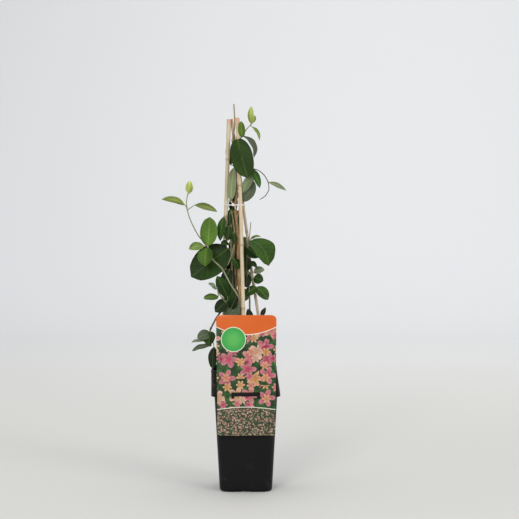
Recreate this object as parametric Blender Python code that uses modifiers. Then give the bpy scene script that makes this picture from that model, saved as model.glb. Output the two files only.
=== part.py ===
"""Honeysuckle vine on three bamboo canes, in a square nursery pot with a hanging plant label.

All sizes are in millimetres, turned into metres by MM. X is to the right of the front view,
Y goes away from the viewer and Z is up. The origin is the centre of the pot's underside.
"""
import math

import bmesh
import bpy
from mathutils import Vector

MM = 0.001
GAP = 0.3

# Pot: a tapered square tub with a wider stacking rim above it.
POT_WALL = 1.5
POT_FLOOR = 2.5
BASE_SIDE = 87.0
BODY_TOP_SIDE = 104.0
BODY_TOP = 160.0
RIM_LOW_SIDE = 114.4
RIM_TOP_SIDE = 108.0
RIM_TOP = 202.5
RIM_LEAN = -3.2
CORNER = 16.0
FOOT_GAP_WIDTH = 16.0
FOOT_GAP_HEIGHT = 3.0
CENTRE_PAD = 30.0
FOOT_ROUND = 4.0
DRAIN_RADIUS = 4.0
DRAIN_REACH = 29.0

# Hook on the front of the rim that carries the label.
HOOK_WIDTH = 46.0
HOOK_LOW = 162.5
HOOK_TOP = 167.5
HOOK_FRONT = -64.5
HOOK_BACK = -55.8
HOOK_LEG = 3.5
HOOK_LEG_LOW = 158.5

# Soil surface below the rim, and how deep canes and stems go.
SOIL_TOP = 190.0
CANE_DEPTH = 60.0
ROOT_DEPTH = 150.0

# Label: a printed card, slightly wider at its top.
LABEL_THICK = 0.8
LABEL_TOP_WIDTH = 99.0
LABEL_LOW_WIDTH = 95.0
LABEL_LOW = 97.0
LABEL_TOP = 295.0
LABEL_CENTRE = 1.0
LABEL_TOP_CORNER = 8.0
LABEL_LOW_CORNER = 2.5
LABEL_FRONT = -61.5
LABEL_BOW = 2.4
SLOT_GAP = 0.6

# Canes: radius, then places from the buried foot to the cut top.
CANES = {
    "cane_front": (3.25, [(0, -34, CANE_DEPTH), (-2, -26, 243), (-4, -22, 288), (-9, -9, 475),
                          (-11, -8, 525), (-14, -7, 620)]),
    "cane_left": (3.5, [(-37, 15, CANE_DEPTH), (-37, 10, 239), (-36, 6, 383), (-33, 1, 475),
                        (-28.5, 0, 618)]),
    "cane_right": (2.5, [(37, 34, CANE_DEPTH), (27, 29, 237), (7, 16, 379), (2, 12, 424),
                         (-5, 8, 475), (-24.5, 7, 619)]),
}

# String round the three canes.
TIE_HEIGHT = 475.0
STRING_RADIUS = 0.95
KNOT = (-21.5, 477.0)
KNOT_RADIUS = 2.7

LEAF_THICK = 0.8
LEAF_ROWS = 5
PETIOLE_RADIUS = 0.8

# Ways in which the upper side of a leaf can look.
FRONT = (0.0, -1.0, 0.3)
FRONT_LEFT = (-0.4, -1.0, 0.3)
FRONT_RIGHT = (0.4, -1.0, 0.3)
UP = (0.0, -0.6, 1.0)
UP_LEFT = (-0.5, -0.6, 1.0)
UP_RIGHT = (0.5, -0.6, 1.0)
SIDE_RIGHT = (1.0, -0.5, 0.3)
FRONT_UP = (0.0, -1.0, 0.75)
TURNED_UP = (0.45, -0.8, 0.8)
ARCHED = (1.0, -0.55, 0.6)
BACK = (0.0, 1.0, 0.3)

# Stems: places along the centre line with the radius there.
MAIN = [(-9, 2, ROOT_DEPTH, 3.2), (-9, 2, 240, 3.2), (-10, 1, 285, 2.8), (-10.5, 0, 316, 2.7),
        (-12, 0, 366, 2.9), (-13.5, 0, 416, 2.8), (-16.5, 0, 458, 2.4), (-17.5, 0, 475, 2.2),
        (-16, 0, 496, 2.1), (-17, 0, 531, 2.0), (-22, 0, 583, 1.6), (-19, 0, 605, 1.4),
        (-19, 0, 617, 1.2), (-20, -1, 643, 1.1)]
TOP_SHOOT = [(-22, 0, 572, 0.9), (-17, 1, 580, 0.9), (-9, 1, 587, 0.8), (0, 0, 600, 0.8),
             (9, -2, 610, 0.7)]
SIDE_SHOOT = [(-19, 0, 550, 1.0), (-13, 1, 550, 0.9), (-3, 1, 545, 0.9), (10, -4, 536, 0.9),
              (20, -8, 533, 0.8), (30, -10, 525, 0.8), (37, -12, 513, 0.7), (38, -13, 500, 0.7),
              (32, -13, 490, 0.7), (23, -12, 484, 0.6)]
SIDE_TWIG = [(7, -3, 538, 0.8), (12, 0, 527, 0.8), (12, 0, 516, 0.8)]
SECOND_STEM = [(-17, 0, 541, 1.2), (-9, 0, 524, 1.3), (-7, 0, 496, 1.3), (-10, 1, 472, 1.2),
               (-16, 0, 451, 1.2)]
LEFT_SHOOT = [(-8, -13, ROOT_DEPTH, 1.5), (-8, -13, 241, 1.5), (-9, -14, 312, 1.4),
              (-25, -17, 342, 1.4), (-40, -21, 370, 1.3), (-56, -24, 386, 1.2),
              (-64, -26, 408, 1.1), (-77, -27, 422, 1.0), (-84, -28, 434, 1.0),
              (-92, -29, 451, 0.9), (-96, -30, 464, 0.9), (-98, -30, 476, 0.8),
              (-97, -30, 487, 0.8), (-95, -30, 495, 0.8)]
CENTRE = [(-17, 8, ROOT_DEPTH, 1.8), (-17, 8, 239, 1.8), (-19, 5, 285, 1.7), (-22, -1, 333, 1.6),
          (-24, -3, 380, 1.8), (-25, -4, 417, 2.1), (-25, -4, 447, 2.0), (-24, -4, 465, 1.6)]
CENTRE_FRONT = [(-24, -3, 380, 1.5), (-20, -7, 401, 1.6), (-19, -8, 426, 1.6), (-22, -6, 451, 1.5),
                (-25, -5, 463, 1.2)]
CENTRE_REAR = [(-19, 5, 285, 1.8), (-17, 8, 336, 1.8), (-19, 8, 380, 1.8), (-20, 8, 416, 1.9),
               (-18, 8, 446, 1.7), (-20, 7, 464, 1.4)]
CENTRE_TWIG = [(-19, -8, 414, 0.8), (-23, -11, 395, 0.9), (-28, -12, 380, 0.9), (-31, -12, 374, 0.8)]
RIGHT = [(7, 7, ROOT_DEPTH, 1.7), (7, 7, 239, 1.7), (6, 4, 315, 1.5), (3, 2, 366, 1.3),
         (2, 1, 406, 1.1), (6, 1, 423, 0.8), (8, 1, 446, 0.7)]
RIGHT_LOW = [(5, 4, 329, 0.9), (12, 6, 332, 0.9), (18, 9, 337, 0.9)]
RIGHT_BACK = [(7, 7, 251, 0.9), (17, 9, 264, 0.9), (25, 11, 287, 0.9)]
LOW_LEFT = [(-28, -8, ROOT_DEPTH, 1.7), (-28, -8, 241, 1.7), (-28, -9, 275, 1.6),
            (-28, -12, 296, 1.4), (-31, -18, 310, 1.2), (-39, -23, 320, 1.0),
            (-46, -25, 330, 0.9), (-48, -24, 339, 0.8)]
LOW_BRANCH = [(-28, -9, 280, 1.5), (-35, -12, 297, 1.5), (-40, -15, 299, 1.5),
              (-50, -26, 286, 1.5), (-59, -38, 269, 1.3)]
REAR = [(-11, 30, ROOT_DEPTH, 1.8), (-11, 30, 237, 1.8), (-12, 28, 314, 1.6), (-16, 24, 382, 1.4),
        (-17, 20, 441, 1.2), (-15, 20, 460, 0.9)]

# Leaves: where the petiole leaves the stem, the foot of the blade, its tip, its width,
# the way its upper side looks, the bow of the midrib, and how full its outline is.
MAIN_LEAVES = [
    ((8, -2, 609), (9, -2, 611), (9, -6, 639), 11, FRONT_LEFT, 2, 0.6),
    ((9, -2, 610), (11, 1, 612), (15, 7, 625), 7, FRONT_RIGHT, 1, 0.8),
    ((8, -2, 608), (9, -3, 606), (23, -12, 583), 9, UP_RIGHT, 4, 0.8),
    ((-5, 0, 593), (-6, -7, 588), (-8, -13, 614), 12, FRONT, 2, 0.45),
    ((-17, 1, 580), (-16, 1, 583), (-6, 5, 597), 8, UP, 2, 0.8),
    ((-7, 0, 588), (-4, 3, 590), (14, 3, 555), 22, ARCHED, 8, 0.5),
    ((-22, 0, 582), (-14, -14, 584), (3, -19, 520), 37, FRONT, 3, 0.42),
    ((-22, 0, 582), (-17, -13, 581), (-14, -14, 529), 18, FRONT_LEFT, 1, 0.5),
    ((8, -3, 537), (11, -6, 535), (23, -12, 503), 13, FRONT_RIGHT, 3, 0.7),
    ((37, -12, 513), (38, -12, 513), (67, -18, 499), 9, FRONT_UP, 3, 0.8),
    ((-18, 0, 476), (-25, -8, 484), (-21, -8, 537), 15, FRONT, 1, 0.42),
    ((-16, 0, 495), (-6, -3, 496), (13, -8, 529), 15, FRONT, 2, 0.55),
    ((12, 0, 517), (13, 0, 514), (-4, 1, 480), 20, FRONT_RIGHT, 1, 0.6),
    ((-19, 0, 541), (-25, 6, 542), (-32, 10, 574), 11, FRONT_LEFT, 1, 0.7),
    ((-16, 0, 502), (-18, 5, 502), (-19, 7, 480), 11, FRONT, 1, 0.5),
]
LEFT_LEAVES = [
    ((-95, -30, 495), (-94, -30, 494), (-92, -33, 515), 12, FRONT, 1, 0.6),
    ((-95, -30, 495), (-94, -30, 495), (-88, -28, 507), 7, SIDE_RIGHT, 1, 0.8),
    ((-98, -30, 471), (-101, -30, 475), (-139, -34, 484), 13, FRONT_UP, 7, 0.7),
    ((-96, -30, 467), (-84, -31, 475), (-47, -36, 464), 13, FRONT_UP, 4, 0.7),
    ((-64, -26, 408), (-63, -27, 408), (-60, -22, 455), 29, FRONT, 2, 0.5),
    ((-66, -26, 409), (-70, -26, 407), (-94, -33, 402), 17, FRONT_UP, 3, 0.6),
    ((-64, -26, 408), (-64, -27, 404), (-67, -36, 374), 28, FRONT_LEFT, 3, 0.6),
]
CENTRE_LEAVES = [
    ((-25, -3, 400), (-30, -4, 402), (-92, -5, 355), 53, FRONT, 1, 0.5),
    ((-25, -4, 424), (-37, -7, 455), (-43, -7, 415), 15, FRONT_LEFT, 2, 0.7),
    ((-25, -4, 437), (-28, -8, 441), (-31, -10, 415), 15, FRONT, 2, 0.7),
    ((-25, -4, 412), (-28, -7, 410), (-42, -12, 409), 17, UP, 2, 0.6),
    ((-25, -4, 430), (-22, -11, 430), (-18, -12, 409), 10, FRONT_RIGHT, 1, 0.7),
    ((-19, 8, 380), (-20, 12, 381), (-34, 15, 358), 20, FRONT, 1, 0.6),
    ((-17, 8, 341), (-18, 12, 341), (-32, 15, 324), 20, FRONT, 1, 0.6),
    ((-18, 8, 361), (-16, 11, 362), (-4, 13, 346), 18, FRONT, 1, 0.6),
    ((-21, 7, 411), (-20, 11, 412), (-9, 12, 396), 16, FRONT, 1, 0.6),
    ((-25, 6, 439), (-24, 9, 441), (-15, 10, 424), 14, FRONT, 1, 0.6),
    ((-17, 8, 331), (-15, 11, 329), (-6, 12, 308), 16, FRONT, 1, 0.6),
    ((-24, -3, 388), (-21, -8, 386), (-11, -9, 368), 15, FRONT_RIGHT, 1, 0.6),
    ((-17, 8, 348), (-22, 11, 352), (-25, 12, 326), 15, FRONT, 1, 0.6),
    ((-19, 8, 396), (-19, 11, 398), (-24, 12, 376), 14, FRONT, 1, 0.6),
    ((-20, 8, 445), (-22, 12, 445), (-26, 13, 469), 15, FRONT, 1, 0.5),
    ((-18, 8, 444), (-15, 12, 442), (-13, 13, 466), 13, FRONT, 1, 0.5),
    ((-20, 8, 426), (-25, 12, 426), (-30, 13, 448), 14, FRONT, 1, 0.5),
    ((-19, 8, 421), (-14, 12, 419), (-12, 13, 443), 13, FRONT, 1, 0.5),
    ((-20, 8, 414), (-23, 12, 417), (-21, 13, 394), 15, FRONT, 1, 0.5),
    ((-17, 8, 348), (-20, 12, 368), (-20, 13, 342), 16, FRONT, 1, 0.5),
    ((-23, -2, 356), (-27, -7, 368), (-37, -9, 341), 19, FRONT, 1, 0.5),
    ((-24, -4, 458), (-27, -8, 462), (-27, -9, 442), 8, FRONT, 1, 0.5),
    ((-20, 7, 463), (-23, 15, 464), (-20, 17, 492), 15, FRONT, 1, 0.5),
    ((-19, 8, 394), (-14, 12, 398), (-10, 13, 375), 13, FRONT, 1, 0.5),
]
RIGHT_LEAVES = [
    ((2, 1, 408), (9, -3, 416), (38, -14, 374), 46, TURNED_UP, 11, 0.5),
    ((2, 1, 404), (3, 0, 404), (21, -6, 387), 22, FRONT, 2, 0.6),
    ((4, 1, 418), (7, -1, 417), (25, -4, 422), 8, UP, 3, 0.8),
    ((4, 3, 352), (13, 4, 362), (31, 2, 367), 15, FRONT_UP, 2, 0.65),
    ((3, 2, 369), (5, 0, 380), (18, -4, 370), 12, UP, 2, 0.7),
    ((5, 3, 342), (13, 5, 353), (29, 2, 348), 18, FRONT, 2, 0.6),
    ((3, 2, 369), (1, -3, 365), (2, -7, 388), 16, FRONT, 1, 0.5),
    ((4, 2, 356), (2, -2, 359), (1, -6, 337), 16, FRONT, 1, 0.5),
    ((18, 9, 337), (18, 8, 337), (-2, 1, 322), 17, FRONT_UP, 2, 0.6),
    ((18, 9, 337), (18, 8, 337), (37, 2, 316), 20, FRONT_UP, 3, 0.6),
    ((25, 11, 286), (25, 11, 287), (33, 8, 303), 8, FRONT, 1, 0.8),
    ((7, 6, 273), (9, 5, 279), (3, 3, 301), 12, FRONT, 1, 0.6),
    ((2, 1, 388), (0, 4, 380), (-3, 5, 406), 11, FRONT, 1, 0.5),
]
LOW_LEFT_LEAVES = [
    ((-48, -24, 338), (-50, -25, 335), (-62, -30, 346), 11, UP_LEFT, 2, 0.7),
    ((-46, -25, 330), (-46, -26, 322), (-70, -32, 321), 13, FRONT_UP, 2, 0.45),
    ((-28, -12, 298), (-31, -13, 322), (-48, -19, 357), 21, FRONT, 2, 0.6),
    ((-28, -12, 298), (-29, -10, 310), (-27, -11, 339), 17, FRONT, 1, 0.5),
    ((-31, -18, 310), (-30, -18, 317), (-51, -22, 297), 21, FRONT, 2, 0.6),
    ((-28, -10, 296), (-25, -19, 302), (-16, -23, 322), 14, FRONT, 2, 0.6),
    ((-28, -9, 284), (-32, -14, 283), (-13, -20, 313), 26, FRONT, 2, 0.5),
    ((-58, -37, 271), (-59, -38, 264), (-80, -50, 256), 18, FRONT, 2, 0.6),
    ((-59, -38, 269), (-58, -39, 266), (-60, -49, 244), 22, FRONT_LEFT, 2, 0.6),
    ((-59, -38, 269), (-66, -42, 250), (-89, -54, 249), 12, UP_LEFT, 2, 0.6),
    ((-59, -38, 269), (-57, -45, 244), (-88, -56, 236), 16, UP_LEFT, 2, 0.6),
    ((-59, -38, 269), (-52, -46, 241), (-54, -49, 205), 16, FRONT_LEFT, 2, 0.6),
]
REAR_LEAVES = [
    ((-16, 24, 378), (-17, 28, 378), (-41, 36, 361), 34, BACK, 3, 0.5),
    ((-16, 21, 421), (-15, 26, 417), (3, 36, 395), 30, BACK, 3, 0.6),
    ((-15, 25, 364), (-14, 30, 361), (6, 42, 342), 28, BACK, 3, 0.6),
    ((-13, 28, 330), (-16, 33, 330), (-34, 42, 307), 30, BACK, 3, 0.5),
    ((-17, 20, 441), (-19, 24, 443), (-29, 30, 419), 22, BACK, 2, 0.6),
    ((-12, 28, 318), (-9, 34, 318), (8, 44, 326), 22, BACK, 3, 0.6),
    ((-16, 24, 388), (-17, 28, 392), (-52, 38, 382), 30, BACK, 3, 0.6),
    ((-12, 29, 286), (-14, 33, 284), (-40, 42, 288), 26, BACK, 3, 0.6),
    ((-16, 22, 426), (-15, 25, 429), (-22, 30, 451), 20, BACK, 2, 0.6),
]
VINES = {
    "vine_main": ([MAIN, TOP_SHOOT, SIDE_SHOOT, SIDE_TWIG, SECOND_STEM], MAIN_LEAVES),
    "vine_left_shoot": ([LEFT_SHOOT], LEFT_LEAVES),
    "vine_centre": ([CENTRE, CENTRE_FRONT, CENTRE_REAR, CENTRE_TWIG], CENTRE_LEAVES),
    "vine_right": ([RIGHT, RIGHT_LOW, RIGHT_BACK], RIGHT_LEAVES),
    "vine_low_left": ([LOW_LEFT, LOW_BRANCH], LOW_LEFT_LEAVES),
    "vine_rear": ([REAR], REAR_LEAVES),
}


def new_collection(name):
    """Make a collection in the scene."""
    coll = bpy.data.collections.new(name)
    bpy.context.scene.collection.children.link(coll)
    return coll


def paint(name, colour, roughness):
    """Make a plain surface of one colour."""
    mat = bpy.data.materials.new(name)
    mat.use_nodes = True
    shader = mat.node_tree.nodes["Principled BSDF"]
    shader.inputs["Base Color"].default_value = (*colour, 1.0)
    shader.inputs["Roughness"].default_value = roughness
    mat.diffuse_color = (*colour, 1.0)
    return mat


def place(name, mesh, coll):
    """Put a mesh in a collection as a named object."""
    obj = bpy.data.objects.new(name, mesh)
    coll.objects.link(obj)
    return obj


def finish_mesh(name, bm, coll):
    """Turn a working mesh into an object."""
    bmesh.ops.recalc_face_normals(bm, faces=bm.faces)
    mesh = bpy.data.meshes.new(name)
    bm.to_mesh(mesh)
    bm.free()
    return place(name, mesh, coll)


def box(name, low, high, coll):
    """Make a block between two corners."""
    bm = bmesh.new()
    bmesh.ops.create_cube(bm, size=1.0)
    size = [(b - a) * MM for a, b in zip(low, high)]
    middle = [(b + a) / 2 * MM for a, b in zip(low, high)]
    bmesh.ops.scale(bm, vec=size, verts=bm.verts)
    bmesh.ops.translate(bm, vec=middle, verts=bm.verts)
    return finish_mesh(name, bm, coll)


def square_block(name, z_low, z_high, side_low, side_high, coll, lean=0.0, corner=CORNER):
    """Make a tapered square block with rounded upright corners."""
    bm = bmesh.new()
    bmesh.ops.create_cube(bm, size=1.0)
    uprights = []
    for edge in bm.edges:
        if abs(edge.verts[0].co.z - edge.verts[1].co.z) > 0.5:
            uprights.append(edge)
    for vert in bm.verts:
        top = vert.co.z > 0
        side = side_high if top else side_low
        shift = lean if top else 0.0
        vert.co.x = (vert.co.x * side + shift) * MM
        vert.co.y = vert.co.y * side * MM
        vert.co.z = (z_high if top else z_low) * MM
    bmesh.ops.bevel(bm, geom=uprights, offset=corner * MM, segments=6, profile=0.5,
                    affect="EDGES", clamp_overlap=True)
    return finish_mesh(name, bm, coll)


def rod(name, start, end, radius, sides, coll):
    """Make a round rod between two places."""
    bm = bmesh.new()
    a = Vector(start) * MM
    b = Vector(end) * MM
    bmesh.ops.create_cone(bm, cap_ends=True, segments=sides, radius1=radius * MM,
                          radius2=radius * MM, depth=(b - a).length)
    turn = (b - a).to_track_quat("Z", "Y").to_matrix().to_4x4()
    bmesh.ops.transform(bm, matrix=turn, verts=bm.verts)
    bmesh.ops.translate(bm, vec=(a + b) / 2, verts=bm.verts)
    return finish_mesh(name, bm, coll)


def tube(name, points, coll, fineness=1, cyclic=False):
    """Make a round tube along places with a radius each, as a closed mesh."""
    curve = bpy.data.curves.new(name, "CURVE")
    curve.dimensions = "3D"
    curve.bevel_depth = MM
    curve.bevel_resolution = fineness
    curve.use_fill_caps = not cyclic
    spline = curve.splines.new("POLY")
    spline.points.add(len(points) - 1)
    spline.use_cyclic_u = cyclic
    for spot, (x, y, z, radius) in zip(spline.points, points):
        spot.co = (x * MM, y * MM, z * MM, 1.0)
        spot.radius = radius
    carrier = bpy.data.objects.new(name, curve)
    coll.objects.link(carrier)
    bpy.context.view_layer.update()
    graph = bpy.context.evaluated_depsgraph_get()
    mesh = bpy.data.meshes.new_from_object(carrier.evaluated_get(graph))
    bpy.data.objects.remove(carrier)
    bm = bmesh.new()
    bm.from_mesh(mesh)
    bmesh.ops.remove_doubles(bm, verts=bm.verts, dist=0.00001)
    return finish_mesh(name, bm, coll)


def flatten(obj):
    """Apply an object's modifiers to its mesh."""
    bpy.context.view_layer.update()
    graph = bpy.context.evaluated_depsgraph_get()
    mesh = bpy.data.meshes.new_from_object(obj.evaluated_get(graph))
    obj.modifiers.clear()
    obj.data = mesh
    return obj


def round_foot(obj):
    """Round the lowest edges of the pot."""
    bm = bmesh.new()
    bm.from_mesh(obj.data)
    low = []
    for edge in bm.edges:
        if edge.verts[0].co.z < MM and edge.verts[1].co.z < MM:
            low.append(edge)
    bmesh.ops.bevel(bm, geom=low, offset=FOOT_ROUND * MM, segments=3, profile=0.5,
                    affect="EDGES", clamp_overlap=True)
    bm.to_mesh(obj.data)
    bm.free()


def combine(obj, other, operation):
    """Join another object to this one or cut it away."""
    mod = obj.modifiers.new("combine", "BOOLEAN")
    mod.operation = operation
    mod.solver = "EXACT"
    mod.object = other
    flatten(obj)
    bpy.data.objects.remove(other)
    return obj


def soften(obj, width, angle):
    """Round the sharp edges of an object a little."""
    mod = obj.modifiers.new("soften", "BEVEL")
    mod.width = width * MM
    mod.segments = 1
    mod.limit_method = "ANGLE"
    mod.angle_limit = math.radians(angle)
    return flatten(obj)


def smooth(obj, angle):
    """Shade an object smooth, keeping edges sharper than the angle."""
    obj.data.shade_smooth()
    limit = math.radians(angle)
    bm = bmesh.new()
    bm.from_mesh(obj.data)
    for edge in bm.edges:
        if len(edge.link_faces) == 2:
            edge.smooth = edge.calc_face_angle(0.0) < limit
    bm.to_mesh(obj.data)
    bm.free()


def pot_inside(name, gap, coll):
    """Make the room inside the pot, smaller all round by the gap."""
    slope = (BODY_TOP_SIDE - BASE_SIDE) / BODY_TOP
    inset = 2 * (POT_WALL + gap)
    low = POT_FLOOR + gap
    ledge = BODY_TOP + POT_WALL + gap
    body_top = BASE_SIDE + slope * (ledge + 1) - inset
    inside = square_block(name, low, ledge + 1, BASE_SIDE + slope * low - inset, body_top, coll,
                          corner=CORNER - POT_WALL)
    rim = square_block("rim_room", ledge, RIM_TOP + 5, RIM_LOW_SIDE - inset,
                       RIM_TOP_SIDE - inset, coll, lean=RIM_LEAN, corner=CORNER - POT_WALL)
    combine(inside, rim, "UNION")
    for low_corner, high_corner in foot_gaps(POT_WALL + gap, 20.0):
        combine(inside, box("channel", low_corner, high_corner, coll), "DIFFERENCE")
    return inside


def foot_gaps(extra, outward):
    """Give the four channels under the pot, grown by some extra width and height."""
    half = FOOT_GAP_WIDTH / 2 + extra
    top = FOOT_GAP_HEIGHT + POT_FLOOR - 1.0 if extra > 0 else FOOT_GAP_HEIGHT
    top += max(extra - POT_WALL, 0.0)
    inner = CENTRE_PAD / 2 - extra
    outer = BASE_SIDE / 2 + outward
    return [
        ((inner, -half, -5), (outer, half, top)),
        ((-outer, -half, -5), (-inner, half, top)),
        ((-half, inner, -5), (half, outer, top)),
        ((-half, -outer, -5), (half, -inner, top)),
    ]


def build_pot(coll, work):
    """Build the pot with its rim, hook, feet and drain holes."""
    pot = square_block("pot", 0, BODY_TOP, BASE_SIDE, BODY_TOP_SIDE, coll)
    round_foot(pot)
    rim = square_block("rim", BODY_TOP - 1, RIM_TOP, RIM_LOW_SIDE, RIM_TOP_SIDE, work,
                       lean=RIM_LEAN)
    combine(pot, soften(rim, 1.2, 60), "UNION")
    combine(pot, pot_inside("room", 0.0, work), "DIFFERENCE")
    for low_corner, high_corner in foot_gaps(0.0, 5.0):
        combine(pot, box("gap", low_corner, high_corner, work), "DIFFERENCE")
    for sx, sy in ((1, 0), (-1, 0), (0, 1), (0, -1)):
        spot = (sx * DRAIN_REACH, sy * DRAIN_REACH)
        hole = rod("drain", (*spot, -2), (*spot, 12), DRAIN_RADIUS, 20, work)
        combine(pot, hole, "DIFFERENCE")
    half = HOOK_WIDTH / 2
    bar = box("hook", (-half, HOOK_FRONT, HOOK_LOW), (half, HOOK_BACK, HOOK_TOP), work)
    for side in (-1, 1):
        inner = side * (half - HOOK_LEG)
        outer = side * half
        leg = box("leg", (min(inner, outer), HOOK_FRONT, HOOK_LEG_LOW),
                  (max(inner, outer), HOOK_BACK, HOOK_LOW + 1), work)
        combine(bar, leg, "UNION")
    combine(pot, soften(bar, 0.5, 60), "UNION")
    smooth(pot, 35)
    pot.data.materials.append(paint("pot_plastic", (0.012, 0.012, 0.013), 0.45))


def buried(points, radius):
    """Give the part of a cane or stem that lies in the soil, with a radius."""
    (x0, y0, z0) = points[0][:3]
    (x1, y1, z1) = points[1][:3]
    down = (SOIL_TOP + 20 - z0) / (z1 - z0)
    high = (x0 + (x1 - x0) * down, y0 + (y1 - y0) * down, SOIL_TOP + 20)
    run = Vector((x1 - x0, y1 - y0, z1 - z0)).normalized()
    low = Vector((x0, y0, z0)) - run * GAP
    return tuple(low), high, radius + 0.45


def build_soil(coll, work):
    """Build the soil that fills the pot, with a plain hole for each cane and stem."""
    soil = pot_inside("soil", GAP, coll)
    lid = box("lid", (-80, -80, SOIL_TOP), (80, 80, SOIL_TOP + 60), work)
    combine(soil, lid, "DIFFERENCE")
    for radius, points in CANES.values():
        start, end, size = buried(points, radius)
        combine(soil, rod("hole", start, end, size, 16, work), "DIFFERENCE")
    for stems, _ in VINES.values():
        start, end, size = buried(stems[0], stems[0][0][3])
        combine(soil, rod("hole", start, end, size, 16, work), "DIFFERENCE")
    smooth(soil, 35)
    soil.data.materials.append(paint("potting_soil", (0.035, 0.022, 0.014), 0.95))


def build_canes(coll):
    """Build the three bamboo canes."""
    for name, (radius, points) in CANES.items():
        cane = tube(name, [(*p, radius) for p in points], coll, fineness=3)
        smooth(cane, 40)
        cane.data.materials.append(paint(name + "_bamboo", (0.62, 0.48, 0.31), 0.5))


def cane_place(name, height):
    """Find where a cane's centre is at a height."""
    points = CANES[name][1]
    for low, high in zip(points, points[1:]):
        if low[2] <= height <= high[2]:
            part = (height - low[2]) / (high[2] - low[2])
            return (low[0] + (high[0] - low[0]) * part, low[1] + (high[1] - low[1]) * part)
    return points[-1][:2]


def build_tie(coll, work):
    """Build the string that goes round the three canes, with its knot."""
    loop = []
    steps = 36
    for i in range(steps):
        angle = 2 * math.pi * i / steps
        way = (math.cos(angle), math.sin(angle))
        best = None
        for name, (radius, _) in CANES.items():
            x, y = cane_place(name, TIE_HEIGHT)
            reach = radius + STRING_RADIUS + 0.35
            far = x * way[0] + y * way[1] + reach
            if best is None or far > best[0]:
                best = (far, x + way[0] * reach, y + way[1] * reach)
        loop.append((best[1], best[2], TIE_HEIGHT, STRING_RADIUS))
    tie = tube("cane_tie", loop, coll, fineness=1, cyclic=True)
    front = min(p[1] for p in loop)
    left_front = [p for p in loop if p[0] < KNOT[0]]
    depth = (front + min(p[1] for p in left_front)) / 2
    bm = bmesh.new()
    bmesh.ops.create_icosphere(bm, subdivisions=2, radius=KNOT_RADIUS * MM)
    bmesh.ops.scale(bm, vec=(1.3, 0.8, 1.0), verts=bm.verts)
    bmesh.ops.translate(bm, vec=(KNOT[0] * MM, depth * MM, (TIE_HEIGHT + 0.6) * MM), verts=bm.verts)
    combine(tie, finish_mesh("knot", bm, work), "UNION")
    x, z = KNOT
    ends = [
        [(x, depth, z - 1, 0.6), (x - 2.5, depth - 1.6, z + 2.5, 0.55), (x - 4, depth - 2, z + 5, 0.5)],
        [(x, depth, z - 1, 0.6), (x + 3, depth - 1.6, z - 4, 0.55), (x + 4, depth - 1.5, z - 8, 0.5)],
    ]
    for points in ends:
        combine(tie, tube("string_end", points, work), "UNION")
    smooth(tie, 50)
    tie.data.materials.append(paint("white_string", (0.8, 0.8, 0.78), 0.8))


def build_label(coll, work):
    """Build the bowed card label with the slot that takes the hook."""
    bm = bmesh.new()
    bmesh.ops.create_grid(bm, x_segments=8, y_segments=16, size=1.0)
    for vert in bm.verts:
        u = vert.co.x
        up = (math.sin(vert.co.y * math.pi / 2) + 1) / 2
        height = LABEL_LOW + (LABEL_TOP - LABEL_LOW) * up
        half = (LABEL_LOW_WIDTH + (LABEL_TOP_WIDTH - LABEL_LOW_WIDTH) * up) / 2
        corner, near_end = LABEL_TOP_CORNER, LABEL_TOP - height
        if up < 0.5:
            corner, near_end = LABEL_LOW_CORNER, height - LABEL_LOW
        if near_end < corner:
            part = 1 - near_end / corner
            half -= corner * (1 - math.sqrt(max(1 - part * part, 0.0)))
        vert.co.x = (LABEL_CENTRE + u * half) * MM
        vert.co.y = (LABEL_FRONT + LABEL_BOW * u * u + 0.4 * math.sin(up * 4)) * MM
        vert.co.z = height * MM
    bmesh.ops.triangulate(bm, faces=bm.faces)
    label = finish_mesh("label_card", bm, coll)
    shell = label.modifiers.new("card", "SOLIDIFY")
    shell.thickness = LABEL_THICK * MM
    shell.offset = 0.0
    flatten(label)
    half = HOOK_WIDTH / 2 + SLOT_GAP
    slot = box("slot", (-half, -75, HOOK_LOW - SLOT_GAP), (half, -50, HOOK_TOP + SLOT_GAP), work)
    combine(label, slot, "DIFFERENCE")
    for side in (-1, 1):
        inner = side * (half - HOOK_LEG - 2 * SLOT_GAP)
        outer = side * half
        leg = box("leg_slot", (min(inner, outer), -75, HOOK_LEG_LOW - SLOT_GAP),
                  (max(inner, outer), -50, HOOK_LOW), work)
        combine(label, leg, "DIFFERENCE")
    smooth(label, 40)
    label.data.materials.append(paint("label_print", (0.45, 0.22, 0.12), 0.4))


def leaf_blade(name, foot, tip, width, face, bow, full, coll):
    """Make one leaf blade: an oval outline, folded a little along a bowed midrib."""
    foot, tip = Vector(foot), Vector(tip)
    along = tip - foot
    length = along.length
    along.normalize()
    up = Vector(face)
    up = (up - along * up.dot(along)).normalized()
    across = along.cross(up)
    bm = bmesh.new()
    bmesh.ops.create_grid(bm, x_segments=2, y_segments=LEAF_ROWS, size=1.0)
    for vert in bm.verts:
        side = vert.co.x
        t = (vert.co.y + 1) / 2
        half = width / 2 * math.sin(math.pi * min(max(t, 0.03), 0.975) ** 0.9) ** full
        rise = bow * 4 * t * (1 - t) + abs(side) * half * 0.18
        spot = foot + along * (length * t) + across * (side * half) + up * rise
        vert.co = spot * MM
    bmesh.ops.triangulate(bm, faces=bm.faces)
    blade = finish_mesh(name, bm, coll)
    shell = blade.modifiers.new("blade", "SOLIDIFY")
    shell.thickness = LEAF_THICK * MM
    shell.offset = 0.0
    return flatten(blade), up, along


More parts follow.
